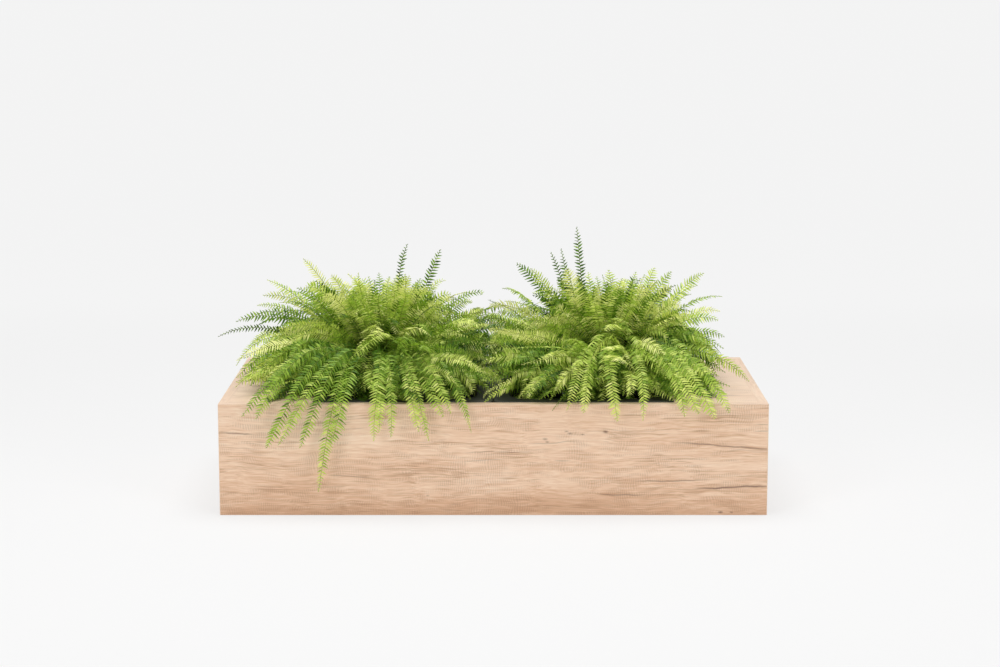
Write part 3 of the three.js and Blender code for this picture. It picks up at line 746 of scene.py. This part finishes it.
RIGHT_RISING = [
    (-60, 20, 295, 10, 0.12, 0.95), (-120, 20, 245, 25, 0.1, 0.8), (-95, 40, 250, 20, 0.1, 0.8),
    (-170, 0, 225, 40, 0.2, 0.9), (-125, -40, 220, 30, 0.6), (-180, -40, 185, 50, 0.5),
    (-75, -60, 225, 25, 0.95, 1.5), (-205, -20, 140, 70, 1.0, 1.1), (15, 60, 205, 25, 0.6),
    (30, 20, 195, 15, 0.6), (97, 60, 210, 30, 0.55), (138, 60, 200, 40, 0.5),
    (126, -20, 185, 40, 0.7), (196, 40, 200, 45, 0.55), (177, 0, 185, 45, 0.6),
    (231, 20, 155, 60, 0.45), (220, -20, 135, 60, 0.8), (213, -60, 125, 60, 0.5),
    (225, -40, 85, 70, 0.4), (217, -80, 70, 80, 0.4), (268, -110, 15, 95, 0.55),
    (-205, -150, 22, 90, 0.4), (-190, -196, 16, 110, 0.5), (-130, -188, 18, 110, 0.45),
    (-200, -70, 80, 70, 0.35), (-150, -100, 110, 60, 0.45), (60, -180, 60, 100, 0.6),
    (-40, -170, 75, 90, 0.55), (120, -130, 90, 80, 0.6),
    (-58, -96, 132, 48, 1.0, 1.3), (-100, -60, 150, 45, 0.9, 1.2), (70, -40, 190, 30, 0.9, 1.2),
    (40, -90, 120, 55, 0.95, 1.1), (150, -80, 130, 55, 0.85, 1.1),
    (-195, -222, 5, 100, 0.6), (-160, -226, 4, 100, 0.5),
]
# Each row: tip outwards along the box, drop below the box's top, rise, tone (age, and painted
# shade for fronds in shade), and the share of a usual frond's width where it isn't HANGING_WIDTH.
LEFT_HANGING = [
    (240, 20, 120, 0.3), (218, 24, 130, 0.35, 0.9), (195, 77, 130, 0.35, 1.05),
    (174, 72, 115, 0.45), (136, 76, 130, 0.35, 0.95), (104, 157, 125, 0.45, 1.15),
    (78, 72, 110, 0.4, 0.95), (10, 64, 125, 0.5),
    (-10, 48, 105, 0.55), (-32, 57, 120, 0.45), (-84, 47, 115, 0.55), (-106, 64, 130, 0.5),
    (-130, 20, 105, 0.45), (-152, 14, 120, 0.5), (-198, 49, 120, 0.4),
]
RIGHT_HANGING = [
    (215, 12, 120, 0.45), (189, 23, 130, 0.5), (160, 14, 110, 0.55), (134, 20, 125, 0.5),
    (57, 27, 120, 0.55), (12, 28, 130, 0.55), (-46, 12, 115, 0.6), (-70, 8, 125, 0.6),
]
# Fans of fronds at the back and low in front: angles from the inward side round the back,
# how many, and tiers of (reach, height, rise) that repeat round the fan.
FANS = [
    (26, 164, 17, [(224, 18, 112), (186, 112, 70), (214, 58, 92), (122, 184, 35)]),
    (-155, -22, 8, [(168, 34, 100), (112, 128, 48), (146, 74, 76)]),
]


def crown_of(side):
    """Where a fern grows: the middle of its pot and the top of its compost."""
    low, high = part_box(f"{side}_pot")
    return np.array([(low.x + high.x) / 2, (low.y + high.y) / 2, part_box(f"{side}_compost")[1].z])


box_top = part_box("front_panel_top_band")[1].z
front_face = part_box("front_panel")[0].y


def frond_line(crown, tip, first_height, lean, last_height, root_out):
    """Four control points of a cubic curve, all in the upright plane through crown and tip."""
    outwards = tip - crown
    outwards[2] = 0
    reach = float(np.linalg.norm(outwards))
    outwards /= reach
    flat_crown = crown * (1, 1, 0)
    control = [flat_crown + outwards * (ROOT_RADIUS + share * (reach - ROOT_RADIUS))
               for share in (FIRST_SHARE, lean)]
    root = crown + outwards * root_out - np.array([0, 0, 2 * MM])
    return np.array([root, control[0] + (0, 0, first_height), control[1] + (0, 0, last_height), tip])


def rising_line(crown, x, y, height, rise, root_out):
    """A frond that arches above the box: both control points stand `rise` over the chord."""
    tip = np.array([crown[0] + x, crown[1] + y, box_top + height])
    start = crown[2] + ROOT_HEIGHT
    climb = tip[2] - start
    return frond_line(crown, tip, start + FIRST_SHARE * climb + rise, RISING_LEAN,
                      start + RISING_LEAN * climb + rise, root_out)


def hanging_line(crown, x, drop, rise, root_out):
    """A frond that hangs over the front. The deeper it hangs, the more upright its end.

    Its third control point stays nearer the crown along the box, so that it falls at a slant.
    """
    overhang = OVERHANG * MM + OVERHANG_PER_DROP * drop
    tip = np.array([crown[0] + x, front_face - overhang, box_top - drop])
    lean = HANGING_LEAN[0] + (HANGING_LEAN[1] - HANGING_LEAN[0]) * min(drop / LONG_DROP, 1)
    control = frond_line(crown, tip, box_top + rise, lean, box_top + rise, root_out)
    control[2, 0] -= HANGING_SLANT * (tip[0] - crown[0])
    return control


print("crowns at", crown_of("left").round(3), crown_of("right").round(3))

# %% [markdown]
# ## Fillers
# Between the fronds of the outline a fern is packed with others. They come in eight families: a
# dome of long ones, a crest of upright broad ones, a skirt that arches over the rim, a mat of low
# flat ones that hides the liner, a bridge that fills the middle of the box, an apron that covers
# the front rim, a train that does the same at the back, and a heart of short young ones around
# the crown. Each family's tips are spread evenly round and up, with a little seeded scatter, and
# reach further outwards than towards the neighbour.

# %% Spread the fillers
FULL_CIRCLE = 2 * math.pi
# Steps round the fan and up the height. Their ratio is irrational, so no pattern shows.
SPREAD_ROUND = 0.7549
SPREAD_UP = 0.5698
FIRST_UP = 0.3
FAN_SCATTER = 0.14
DOME_CLOSING = 0.86
RISE_LOST_ABOVE = 0.4
# How far the dome reaches outwards, inwards, to the front and to the back.
DOME_REACH = {"left": (285, 209, 262, 222), "right": (245, 209, 258, 222)}
# Angles run from the outward side over the back to the inward side and on to the front.
INWARD = math.pi
FRONT = 1.5 * math.pi
BACK = 0.5 * math.pi
# Each family: how many, the middle of its fan and how wide, how square its plan, then from least
# to most: share of the reach, tip height, rise, tone (age, and painted shade low in the fern), and
# share of a frond's full width.
FAMILIES = {
    "dome": (122, INWARD, FULL_CIRCLE, 2,
             (0.6, 0.97), (50, 205), (20, 85), (0.0, 0.86), (0.8, 1.05)),
    "crest": (78, INWARD, FULL_CIRCLE, 2,
              (0.1, 0.55), (95, 190), (30, 85), (0.15, 1.0), (0.85, 1.2)),
    "skirt": (88, INWARD, FULL_CIRCLE, 3,
              (0.66, 1.0), (6, 60), (60, 105), (0.0, 0.7), (0.8, 1.05)),
    "mat": (84, INWARD, FULL_CIRCLE, 5,
            (0.5, 1.0), (-20, 30), (6, 40), (0.0, 0.45), (0.75, 1.05)),
    "bridge": (124, INWARD, 0.94 * math.pi, 6,
               (0.95, 1.26), (-6, 126), (14, 60), (0.02, 0.88), (0.8, 1.1)),
    "apron": (164, FRONT, 1.06 * math.pi, 7,
              (0.62, 0.94), (-30, 36), (2, 60), (0.0, 0.72), (0.75, 1.05)),
    "train": (48, BACK, 0.96 * math.pi, 6,
              (0.6, 0.98), (-10, 50), (10, 60), (0.05, 0.65), (0.8, 1.1)),
    "heart": (70, INWARD, FULL_CIRCLE, 2,
              (0.2, 0.62), (15, 130), (15, 55), (0.15, 1.0), (0.6, 0.95)),
}


def between(limits, share):
    """The value at a share of the way from the first limit to the second."""
    return limits[0] + (limits[1] - limits[0]) * share


def family_rows(side, family, rng):
    """Rows like the rising ones, with tips within a superellipse: |x/a|^n + |y/b|^n = 1 in plan.

    High tips of the dome stand nearer the crown: their reach shrinks with
    sqrt(1 - DOME_CLOSING climb^2).
    """
    outward, inward, front, back = DOME_REACH[side]
    count, middle, fan, square, reach, height, rise, tone, width = FAMILIES[family]
    number = np.arange(count)
    angle = middle + ((number * SPREAD_ROUND) % 1 - 0.5) * fan + rng.normal(0, FAN_SCATTER, count)
    climb = (number * SPREAD_UP + FIRST_UP) % 1
    x, y = np.cos(angle), np.sin(angle)
    limit = (np.abs(x / np.where(x > 0, outward, inward)) ** square
             + np.abs(y / np.where(y > 0, back, front)) ** square) ** (-1 / square)
    arch = np.sqrt(1 - DOME_CLOSING * climb ** 2) if family == "dome" else np.ones(count)
    out = limit * between(reach, rng.random(count)) * arch
    rises = between(rise, arch * (1 - RISE_LOST_ABOVE * climb))
    return np.stack([out * x, out * y, between(height, climb), rises,
                     between(tone, rng.random(count)), between(width, rng.random(count))], -1)


# %% [markdown]
# ## Leaflets
# A frond is a thin tapering stalk with two rows of leaflets, set alternately, 4 mm apart on a
# young frond and 6 mm on an old one. Each leaflet is a small folded blade of two by two faces. It
# points outwards and a little towards the tip, droops at its end, and turns its face to the sky:
# where the frond stands upright the leaflets lie across it like the rungs of a ladder. Fronds
# roll their blades towards the light in front, the upright and the hanging ones most. All the
# leaflets of a frond are worked out together, as one array.

# %% Build one frond
OLD_SPACING = 6.3 * MM
YOUNG_SPACING = 4.4 * MM
LEAFLET_FILL = 0.64
# A leaflet's grid: how far along its rows are, how full, and where its columns are across it.
LEAFLET_ROWS = np.array([0.0, 0.36, 1.0])[:, None, None]
LEAFLET_FULLNESS = np.array([0.66, 1.0, 0.14])[:, None, None]
LEAFLET_COLUMNS = np.array([-1.0, 0.0, 1.0])[:, None]
LEAFLET_FOLD = 0.28
LEAFLET_SWEEP = 0.12
LEAFLET_DROOP = 0.15
FULL_LEAFLET = 10 * MM
# Shares of a stalk: its bare foot, least and most, and where its two rows of leaflets end.
BARE_FOOT = (0.04, 0.1)
ROW_ENDS = (0.985, 0.992)
SECOND_ROW_BEHIND = 0.45
FEWEST_PAIRS = 6
# Least and most of a leaflet's length for its place, and of its breadth for its length.
LEAFLET_LENGTHS = (0.82, 1.12)
LEAFLET_BREADTHS = (0.5, 1.1)
# How leaflets lean to the tip, how much more at the tip, and how much paler they are there: partly
# younger growth, and partly painted shade darkening the leaflets nearer the crown.
HANGING_LEAFLETS = (0.1, 0.3, 0.45)
RISING_LEAFLETS = (0.18, 0.45, 0.32)
# What scatters from leaflet to leaflet: its lean, lift, tilt and tone.
LEAN_SCATTER = 0.1
LEAFLET_LIFT = (-0.1, 0.13)
FROND_LIFT = (0.0, 0.16)
TILT_SCATTER = 0.28
TILT_POWER = 1.4
TONE_SCATTER = 0.09
# A frond's width at its foot and the loss at its tip, as shares of its full width.
FOOT_WIDTH = 0.4
TIP_LOSS = 0.93
TIP_POWER = 2.4
STALK_SIDES = 5
STALK_STEPS = 15
STALK_RADIUS = (1.3 * MM, 0.35 * MM)
STALK_MARK = 0.8
TIP_CURL = 9 * MM
CURL_FROM = 0.82
SWELL_LENGTH = 0.26
UP = np.array([0.0, 0.0, 1.0])
FRONT_LIGHT = np.array([0.0, -0.97, 0.24])
LIT_SHARE = 0.65
UPRIGHT_SLOPE = 1.4
# How each kind of frond grows: how far it turns to the light, the scatter of its roll, sway, twist
# and curl, then least and most of its leaflets' tilt and of where along it it starts to narrow.
HABITS = {
    "hanging": (0.9, 0.15, 0.05, 0.15, 0.3, (0.15, 0.5), (0.74, 0.9)),
    "upright": (0.95, 0.12, 0.05, 0.15, 0.8, (0.15, 0.55), (0.7, 0.88)),
    "arching": ((0.25, 0.95), 0.28, 0.12, 0.45, 1.0, (0.35, 1.1), (0.6, 0.84)),
}


def unit(vectors):
    """Vectors scaled to length 1."""
    return vectors / np.maximum(np.linalg.norm(vectors, axis=-1, keepdims=True), 1e-9)


def smooth_step(share):
    """0 below 0, 1 above 1, and 3s^2 - 2s^3 between."""
    share = np.clip(share, 0, 1)
    return share * share * (3 - 2 * share)


def on_curve(control, share):
    """Places and directions on a cubic curve at shares of its length, from a fine sampling."""
    t = np.linspace(0, 1, 121)[:, None]
    a, b, c, d = control
    places = (1 - t) ** 3 * a + 3 * (1 - t) ** 2 * t * b + 3 * (1 - t) * t ** 2 * c + t ** 3 * d
    steps = np.linalg.norm(np.diff(places, axis=0), axis=1)
    run = np.concatenate([[0], np.cumsum(steps)])
    length = run[-1]
    at = np.stack([np.interp(share * length, run, places[:, i]) for i in range(3)], -1)
    slopes = np.gradient(places, axis=0)
    towards = np.stack([np.interp(share * length, run, slopes[:, i]) for i in range(3)], -1)
    return at, unit(towards), length


def level_side(control):
    """The level direction across a frond's own upright plane."""
    flat = control[3] - control[0]
    return unit(np.array([-flat[1], flat[0], 0.0]))


def frame_along(control, share, habit):
    """Places, directions, sides and upper normals along a frond that sways, rolls and curls."""
    at, towards, length = on_curve(control, share)
    bend = habit["sway"] * length * np.sin(math.pi * share) * share
    curl = habit["curl"] * TIP_CURL * np.clip((share - CURL_FROM) / (1 - CURL_FROM), 0, 1) ** 2
    at = at + level_side(control) * (bend + curl)[:, None]
    side = np.broadcast_to(level_side(control), at.shape)
    above = unit(np.cross(towards, side))
    angle = (habit["roll"] * smooth_step(share * 2) + habit["twist"] * share)[:, None]
    turned_side = side * np.cos(angle) + above * np.sin(angle)
    turned_above = above * np.cos(angle) - side * np.sin(angle)
    return at, towards, turned_side, turned_above


def leaflet_length(share, half_width, bare, full_to):
    """Half the frond's width along it: it swells, stays full, and narrows to a fine tip."""
    swell = smooth_step((share - bare) / SWELL_LENGTH)
    taper = 1 - TIP_LOSS * np.clip((share - full_to) / (1 - full_to), 0, 1) ** TIP_POWER
    return half_width * between((FOOT_WIDTH, 1), swell) * taper


def roll_to_light(control):
    """The roll that turns a frond's blade to the front light, within a quarter turn either way.

    It is the angle from the blade's own upper normal to the light's part across the stalk.
    """
    towards = on_curve(control, np.array([LIT_SHARE]))[1][0]
    side = level_side(control)
    above = np.cross(towards, side)
    roll = math.atan2(-float(FRONT_LIGHT @ side), float(FRONT_LIGHT @ above))
    return (roll + math.pi / 2) % math.pi - math.pi / 2


def habit_of(control, hanging, rng):
    """How a frond rolls, sways, twists and curls, how its leaflets tilt, and where it narrows."""
    reach = float(np.linalg.norm((control[3] - control[0])[:2]))
    upright = control[3, 2] - control[0, 2] > UPRIGHT_SLOPE * reach
    kind = "hanging" if hanging else "upright" if upright else "arching"
    turn, roll, sway, twist, curl, rung, full_to = HABITS[kind]
    if kind == "arching":
        turn = rng.uniform(*turn)
    return {"roll": turn * roll_to_light(control) + rng.normal(0, roll),
            "sway": rng.normal(0, sway), "twist": rng.normal(0, twist),
            "curl": rng.normal(0, curl), "rung": rng.uniform(*rung),
            "full_to": rng.uniform(*full_to)}


def build_leaflets(control, half_width, tone, hanging, habit, rng):
    """Points, faces and tones of all the leaflets of a frond."""
    bare = rng.uniform(*BARE_FOOT)
    length = on_curve(control, np.array([1.0]))[2]
    spacing = between((OLD_SPACING, YOUNG_SPACING), min(tone, 1.0))
    pairs = max(int(length * (1 - bare) / spacing), FEWEST_PAIRS)
    share = np.concatenate([np.linspace(bare, ROW_ENDS[0], pairs),
                            np.linspace(bare + SECOND_ROW_BEHIND / pairs, ROW_ENDS[1], pairs)])
    count = len(share)
    hand = np.repeat([1.0, -1.0], pairs)[:, None]
    at, towards, side, above = frame_along(control, share, habit)
    long = leaflet_length(share, half_width, bare, habit["full_to"])[:, None]
    long = long * rng.uniform(*LEAFLET_LENGTHS, (count, 1))
    broad = LEAFLET_FILL * spacing * np.clip(long / FULL_LEAFLET, *LEAFLET_BREADTHS)
    lean, tip_lean, tip_tone = HANGING_LEAFLETS if hanging else RISING_LEAFLETS
    forward = (lean + tip_lean * share ** 2)[:, None] + rng.normal(0, LEAN_SCATTER, (count, 1))
    lift = rng.normal(*LEAFLET_LIFT, (count, 1)) + rng.normal(*FROND_LIFT)
    out = unit(hand * side + towards * forward + above * lift)
    width_axis = unit(towards - out * np.sum(towards * out, -1, keepdims=True))
    face = hand * np.cross(width_axis, out)
    pitch = habit["rung"] * np.sign(towards[:, 2:]) * np.abs(towards[:, 2:]) ** TILT_POWER
    pitch = pitch + rng.normal(0, TILT_SCATTER, (count, 1))
    facing = face * np.cos(pitch) + width_axis * np.sin(pitch)
    across = width_axis * np.cos(pitch) - face * np.sin(pitch)

    at, out, across, facing, towards, long, broad = [
        array[:, None, None, :] for array in (at, out, across, facing, towards, long, broad)]
    half_broad = broad * LEAFLET_FULLNESS / 2
    points = (at + out * long * LEAFLET_ROWS + across * half_broad * LEAFLET_COLUMNS
              + facing * half_broad * np.abs(LEAFLET_COLUMNS) * LEAFLET_FOLD
              + (towards * LEAFLET_SWEEP - UP * LEAFLET_DROOP) * long * LEAFLET_ROWS ** 2)
    blade_faces = grid_faces(len(LEAFLET_ROWS), len(LEAFLET_COLUMNS), False)
    blade_points = len(LEAFLET_ROWS) * len(LEAFLET_COLUMNS)
    faces = np.where(hand[:, :, None] > 0, blade_faces[None], blade_faces[None, :, ::-1])
    faces = faces + (np.arange(count) * blade_points)[:, None, None]
    # Leaflets pale towards the tip: younger growth there, and painted shade nearer the crown.
    tones = tone + tip_tone * (share - 0.5) + rng.normal(0, TONE_SCATTER, count)
    return points.reshape(-1, 3), faces.reshape(-1, 4), np.repeat(tones, blade_points)


def build_stalk(control, habit, start):
    """Points and faces of a frond's stalk, a tapering tube, with its points numbered from start."""
    share = np.linspace(0, 0.995, STALK_STEPS)
    at, _, side, above = frame_along(control, share, habit)
    around = np.linspace(0, 2 * math.pi, STALK_SIDES, endpoint=False)[None, :, None]
    radius = between(STALK_RADIUS, share)[:, None, None]
    points = at[:, None] + radius * (side[:, None] * np.cos(around) + above[:, None] * np.sin(around))
    return points.reshape(-1, 3), grid_faces(STALK_STEPS, STALK_SIDES, True, start)[:, ::-1]


def build_frond(control, half_width, tone, hanging, rng):
    """Points, faces, tones and stalk marks of one frond."""
    habit = habit_of(control, hanging, rng)
    points, faces, tones = build_leaflets(control, half_width, tone, hanging, habit, rng)
    stalk_points, stalk_faces = build_stalk(control, habit, len(points))
    return (np.concatenate([points, stalk_points]), np.concatenate([faces, stalk_faces]),
            np.concatenate([tones, np.full(len(stalk_points), tone)]),
            np.concatenate([np.zeros(len(tones)), np.full(len(stalk_points), STALK_MARK)]))


# %% [markdown]
# ## The ferns
# Fronds lie on what they meet. A point that would sink into a top board or a rim is lifted onto
# it, a hanging one goes the shortest way out, up or forwards, and none passes the back, so that
# the box can stand against a wall. The two ferns meet along a wavy upright seam: their tips reach
# past each other's like fingers, and still either plant lifts straight out. Each fern is a few
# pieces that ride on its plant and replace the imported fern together, which stays for its weight.

# %% Keep fronds clear of the box
HALF_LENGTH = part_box("front_panel")[1].x
HALF_DEPTH = -front_face / MM
BACK_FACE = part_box("back_panel")[1].y
LYING_GAP = 2.5 * MM
HANGING_GAP = 2.0 * MM
SEAM_GAP = 2.5 * MM
SEAM_SWING = 30 * MM
SEAM_WAVE = 118 * MM
SEAM_CROWDING = 26 * MM
TIP_REST = 60 * MM
FRONT_LIMIT = -302 * MM
FRONT_CROWDING = 16 * MM


def seam(y):
    """How far the line between the two ferns stands to the right of the middle: a sine along Y."""
    return SEAM_SWING * np.sin(2 * math.pi * y / SEAM_WAVE)


def crowd(distance, zone):
    """A distance pressed together within a zone: under c it becomes c exp((d - c) / c)."""
    return np.where(distance < zone, zone * np.exp((distance - zone) / zone), distance)


def rest_on_box(points, side, end, hanging):
    """The same points of a frond, none inside a board or a rim, across the seam or behind the box.

    Leaves crowd before the seam, and before FRONT_LIMIT in front of the box.
    """
    low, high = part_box(f"{side}_liner")
    edge = RIM_WIDTH + LYING_GAP
    well_x = np.abs(points[:, 0] - (low.x + high.x) / 2) < (high.x - low.x) / 2 - edge
    well_y = np.abs(points[:, 1]) < (high.y - low.y) / 2 - edge
    points = points.copy()
    sunk = box_top + LYING_GAP - points[:, 2]
    behind = points[:, 1] - (front_face - HANGING_GAP)
    over_box = (np.abs(points[:, 0]) < HALF_LENGTH + HANGING_GAP) & (sunk > 0) & ~(well_x & well_y)
    forwards = hanging & over_box & (behind > 0) & (behind < sunk)
    upwards = over_box & ~forwards & (behind > (0 if hanging else -TIP_REST))
    points[:, 1] -= np.where(forwards, behind, 0)
    points[:, 2] += np.where(upwards, sunk, 0)
    border = seam(points[:, 1])
    away = end * (points[:, 0] - border) - SEAM_GAP
    points[:, 0] = border + end * (crowd(away, SEAM_CROWDING) + SEAM_GAP)
    points[:, 1] = np.minimum(points[:, 1], BACK_FACE - HANGING_GAP)
    points[:, 1] = crowd(points[:, 1] - FRONT_LIMIT, FRONT_CROWDING) + FRONT_LIMIT
    return points


# %% Grow the ferns
HALF_WIDTH = (12.5 * MM, 17.0 * MM)
# How broad a frond is by its age, from old to young, and the length that is its full size.
VIGOUR = (0.84, 1.16)
FULL_LENGTH = 360 * MM
MOST_FRONDS = 70
# How far from the crown fronds root, in millimetres, and how old the fans' fronds are.
RISING_ROOT = (4, 30)
HANGING_ROOT = (10, 30)
FAN_TONE = (0.3, 0.7)


def grow(name, fronds, rng, side, end):
    """Pieces of at most MOST_FRONDS fronds from a list of (control points, tone, width, hanging)."""
    for batch, start in enumerate(range(0, len(fronds), MOST_FRONDS)):
        parts = []
        for control, tone, width, hanging in fronds[start:start + MOST_FRONDS]:
            length = float(np.linalg.norm(control[3] - control[0]))
            size = between(VIGOUR, min(tone, 1.0)) * min(1.0, 0.5 + length / FULL_LENGTH)
            half_width = rng.uniform(*HALF_WIDTH) * width * size
            points, *rest = build_frond(control, half_width, tone, hanging, rng)
            parts.append((rest_on_box(points, side, end, hanging), *rest))
        counts = np.cumsum([0] + [len(part[0]) for part in parts[:-1]])
        points = np.concatenate([part[0] for part in parts])
        faces = np.concatenate([part[1] + offset for part, offset in zip(parts, counts)])
        piece = make_piece(f"{name}_{batch + 1}", points, faces.tolist(), leaf)
        for attribute, column in (("tone", 2), ("stalk", 3)):
            values = np.concatenate([part[column] for part in parts]).astype(np.float32)
            layer = piece.data.attributes.new(attribute, "FLOAT", "POINT")
            layer.data.foreach_set("value", values)
        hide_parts(f"{side}_fern")
        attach(piece, f"{side}_plant")
        print(piece.name, len(parts), "fronds,", 2 * len(faces), "triangles")


def fan_rows(rng):
    """Rows like the rising ones for every frond of the two fans."""
    rows = []
    for first, last, count, tiers in FANS:
        for i, angle in enumerate(np.radians(np.linspace(first, last, count))):
            reach, height, rise = tiers[i % len(tiers)]
            rows.append((-reach * math.cos(angle), reach * math.sin(angle), height, rise,
                         rng.uniform(*FAN_TONE)))
    return rows


def make_fern(side, end, rising, hanging, seed):
    """All pieces of one fern. `end` is -1 for the left fern and 1 for the right."""
    rng = np.random.default_rng(seed)
    crown = crown_of(side)

    def across(outwards, y):
        """A distance along the box from the crown, fitted to the room before the seam."""
        room = abs(crown[0]) - end * seam(y * MM) - MIDDLE_CLEARANCE
        return end * (outwards * room / INWARD_REACH if outwards < 0 else outwards * MM)

    def rising_fronds(rows):
        """The fronds of these rows, each rooted at its own distance from the crown."""
        return [(rising_line(crown, across(x, y), y * MM, height * MM, rise * MM,
                             rng.uniform(*RISING_ROOT) * MM),
                 tone, (width or [RISING_WIDTH])[0], False)
                for x, y, height, rise, tone, *width in rows]

    outline = rising_fronds([*rising, *fan_rows(rng)])
    outline += [(hanging_line(crown, across(x, -HALF_DEPTH), drop * MM, rise * MM,
                              rng.uniform(*HANGING_ROOT) * MM),
                 tone, (width or [HANGING_WIDTH])[0], True)
                for x, drop, rise, tone, *width in hanging]
    grow(f"{side}_fern_outline", outline, rng, side, end)
    for family in FAMILIES:
        grow(f"{side}_fern_{family}", rising_fronds(family_rows(side, family, rng)), rng, side, end)


make_fern("left", -1, LEFT_RISING, LEFT_HANGING, 11)
make_fern("right", 1, RIGHT_RISING, RIGHT_HANGING, 23)

# %% [markdown]
# ## Studio
# The picture was taken on a seamless white sweep: a floor that curves up into a wall with no line
# between them, under large soft lamps. The sweep is a profile pulled sideways. A studio lights its
# wall so far that it blows out to an even near-white. Here the paint gives way to that even white
# with the distance behind and around the box, for what the camera sees and what gloss mirrors,
# while every other ray meets plain paint. The world adds the light that a white room throws back.

# %% Build the sweep
SWEEP_HALF_WIDTH = 14.0
SWEEP_FRONT = -9.0
SWEEP_BACK = 5.0
SWEEP_RADIUS = 2.0
SWEEP_HEIGHT = 6.0
SWEEP_COLOUR = "#f4f4f4"
BLOWN_OUT = "#f5f5f5"
# From and to what distance the white takes over, behind the box and all round it, and its share.
BEHIND = (0.2, 2.4, 0.72, 0.97)
AROUND = (3, 5, 0, 0.97)


def ray_is(tree, *kinds):
    """1 for a ray of one of these kinds, and 0 for any other."""
    rays = add_node(tree, "LightPath").outputs
    found = 0
    for kind in kinds:
        found = add_node(tree, "Math", [found, rays[f"Is {kind} Ray"]], operation="MAXIMUM")
    return found


arc = np.linspace(0, math.pi / 2, 25)
profile_y = np.concatenate([[SWEEP_FRONT], SWEEP_BACK + SWEEP_RADIUS * np.sin(arc),
                            [SWEEP_BACK + SWEEP_RADIUS]])
profile_z = np.concatenate([[0.0], SWEEP_RADIUS * (1 - np.cos(arc)), [SWEEP_HEIGHT]])
sweep_points = np.stack([
    np.repeat([[-SWEEP_HALF_WIDTH, SWEEP_HALF_WIDTH]], len(profile_y), 0),
    np.repeat(profile_y[:, None], 2, 1), np.repeat(profile_z[:, None], 2, 1)], -1)
sweep_material, tree, own = new_material("painted_sweep")
paint = add_node(tree, "BsdfDiffuse", [SWEEP_COLOUR])
white = add_node(tree, "Emission", [BLOWN_OUT, 1.0])
towards_back = add_node(tree, "SeparateXYZ", [own]).outputs["Y"]
behind = add_node(tree, "MapRange", [towards_back, *BEHIND])
away = add_node(tree, "VectorMath", [own], operation="LENGTH")
around = add_node(tree, "MapRange", [away, *AROUND])
share = add_node(tree, "Math", [behind, around], operation="MAXIMUM")
seen = ray_is(tree, "Camera", "Glossy", "Transmission")
share = add_node(tree, "Math", [seen, share], operation="MULTIPLY")
surface = add_node(tree, "MixShader", [share, paint, white])
add_node(tree, "OutputMaterial", [surface])
sweep = make_piece("sweep", sweep_points.reshape(-1, 3),
                   grid_faces(len(profile_y), 2, False).tolist(), sweep_material)

# %% Hang the lamps
# Each lamp: name, place, width, depth and watts. All point at the middle of the box's top.
LAMPS = [
    ("overhead_bank", (0.0, 0.0, 3.2), 2.4, 1.8, 70),
    ("front_left_bank", (-2.6, -3.6, 2.2), 1.6, 1.6, 56),
    ("front_right_bank", (2.8, -3.4, 1.8), 1.6, 1.6, 44),
]
LIT_PLACE = (0.0, 0.0, 0.2)
ROOM_LIGHT = 0.38

for name, place, width, depth, watts in LAMPS:
    lamp = bpy.data.lights.new(name, "AREA")
    lamp.shape = "RECTANGLE"
    lamp.size = width
    lamp.size_y = depth
    lamp.energy = watts
    lamp_object = bpy.data.objects.new(name, lamp)
    lamp_object.location = place
    away = np.subtract(place, LIT_PLACE)
    lamp_object.rotation_euler = (math.atan2(math.hypot(away[0], away[1]), away[2]), 0,
                                  math.atan2(away[0], -away[1]))
    bpy.context.scene.collection.objects.link(lamp_object)

world = bpy.data.worlds.new("white_room")
bpy.context.scene.world = world
world.use_nodes = True
tree = world.node_tree
tree.nodes.clear()
room = add_node(tree, "Background", ["#ffffff", ROOM_LIGHT])
backdrop = add_node(tree, "Background", [BLOWN_OUT, 1.0])
seen = add_node(tree, "MixShader", [ray_is(tree, "Camera", "Transmission"), room, backdrop])
add_node(tree, "OutputWorld", [seen])
bpy.context.scene.view_settings.view_transform = "Standard"
print(len(LAMPS), "lamps")
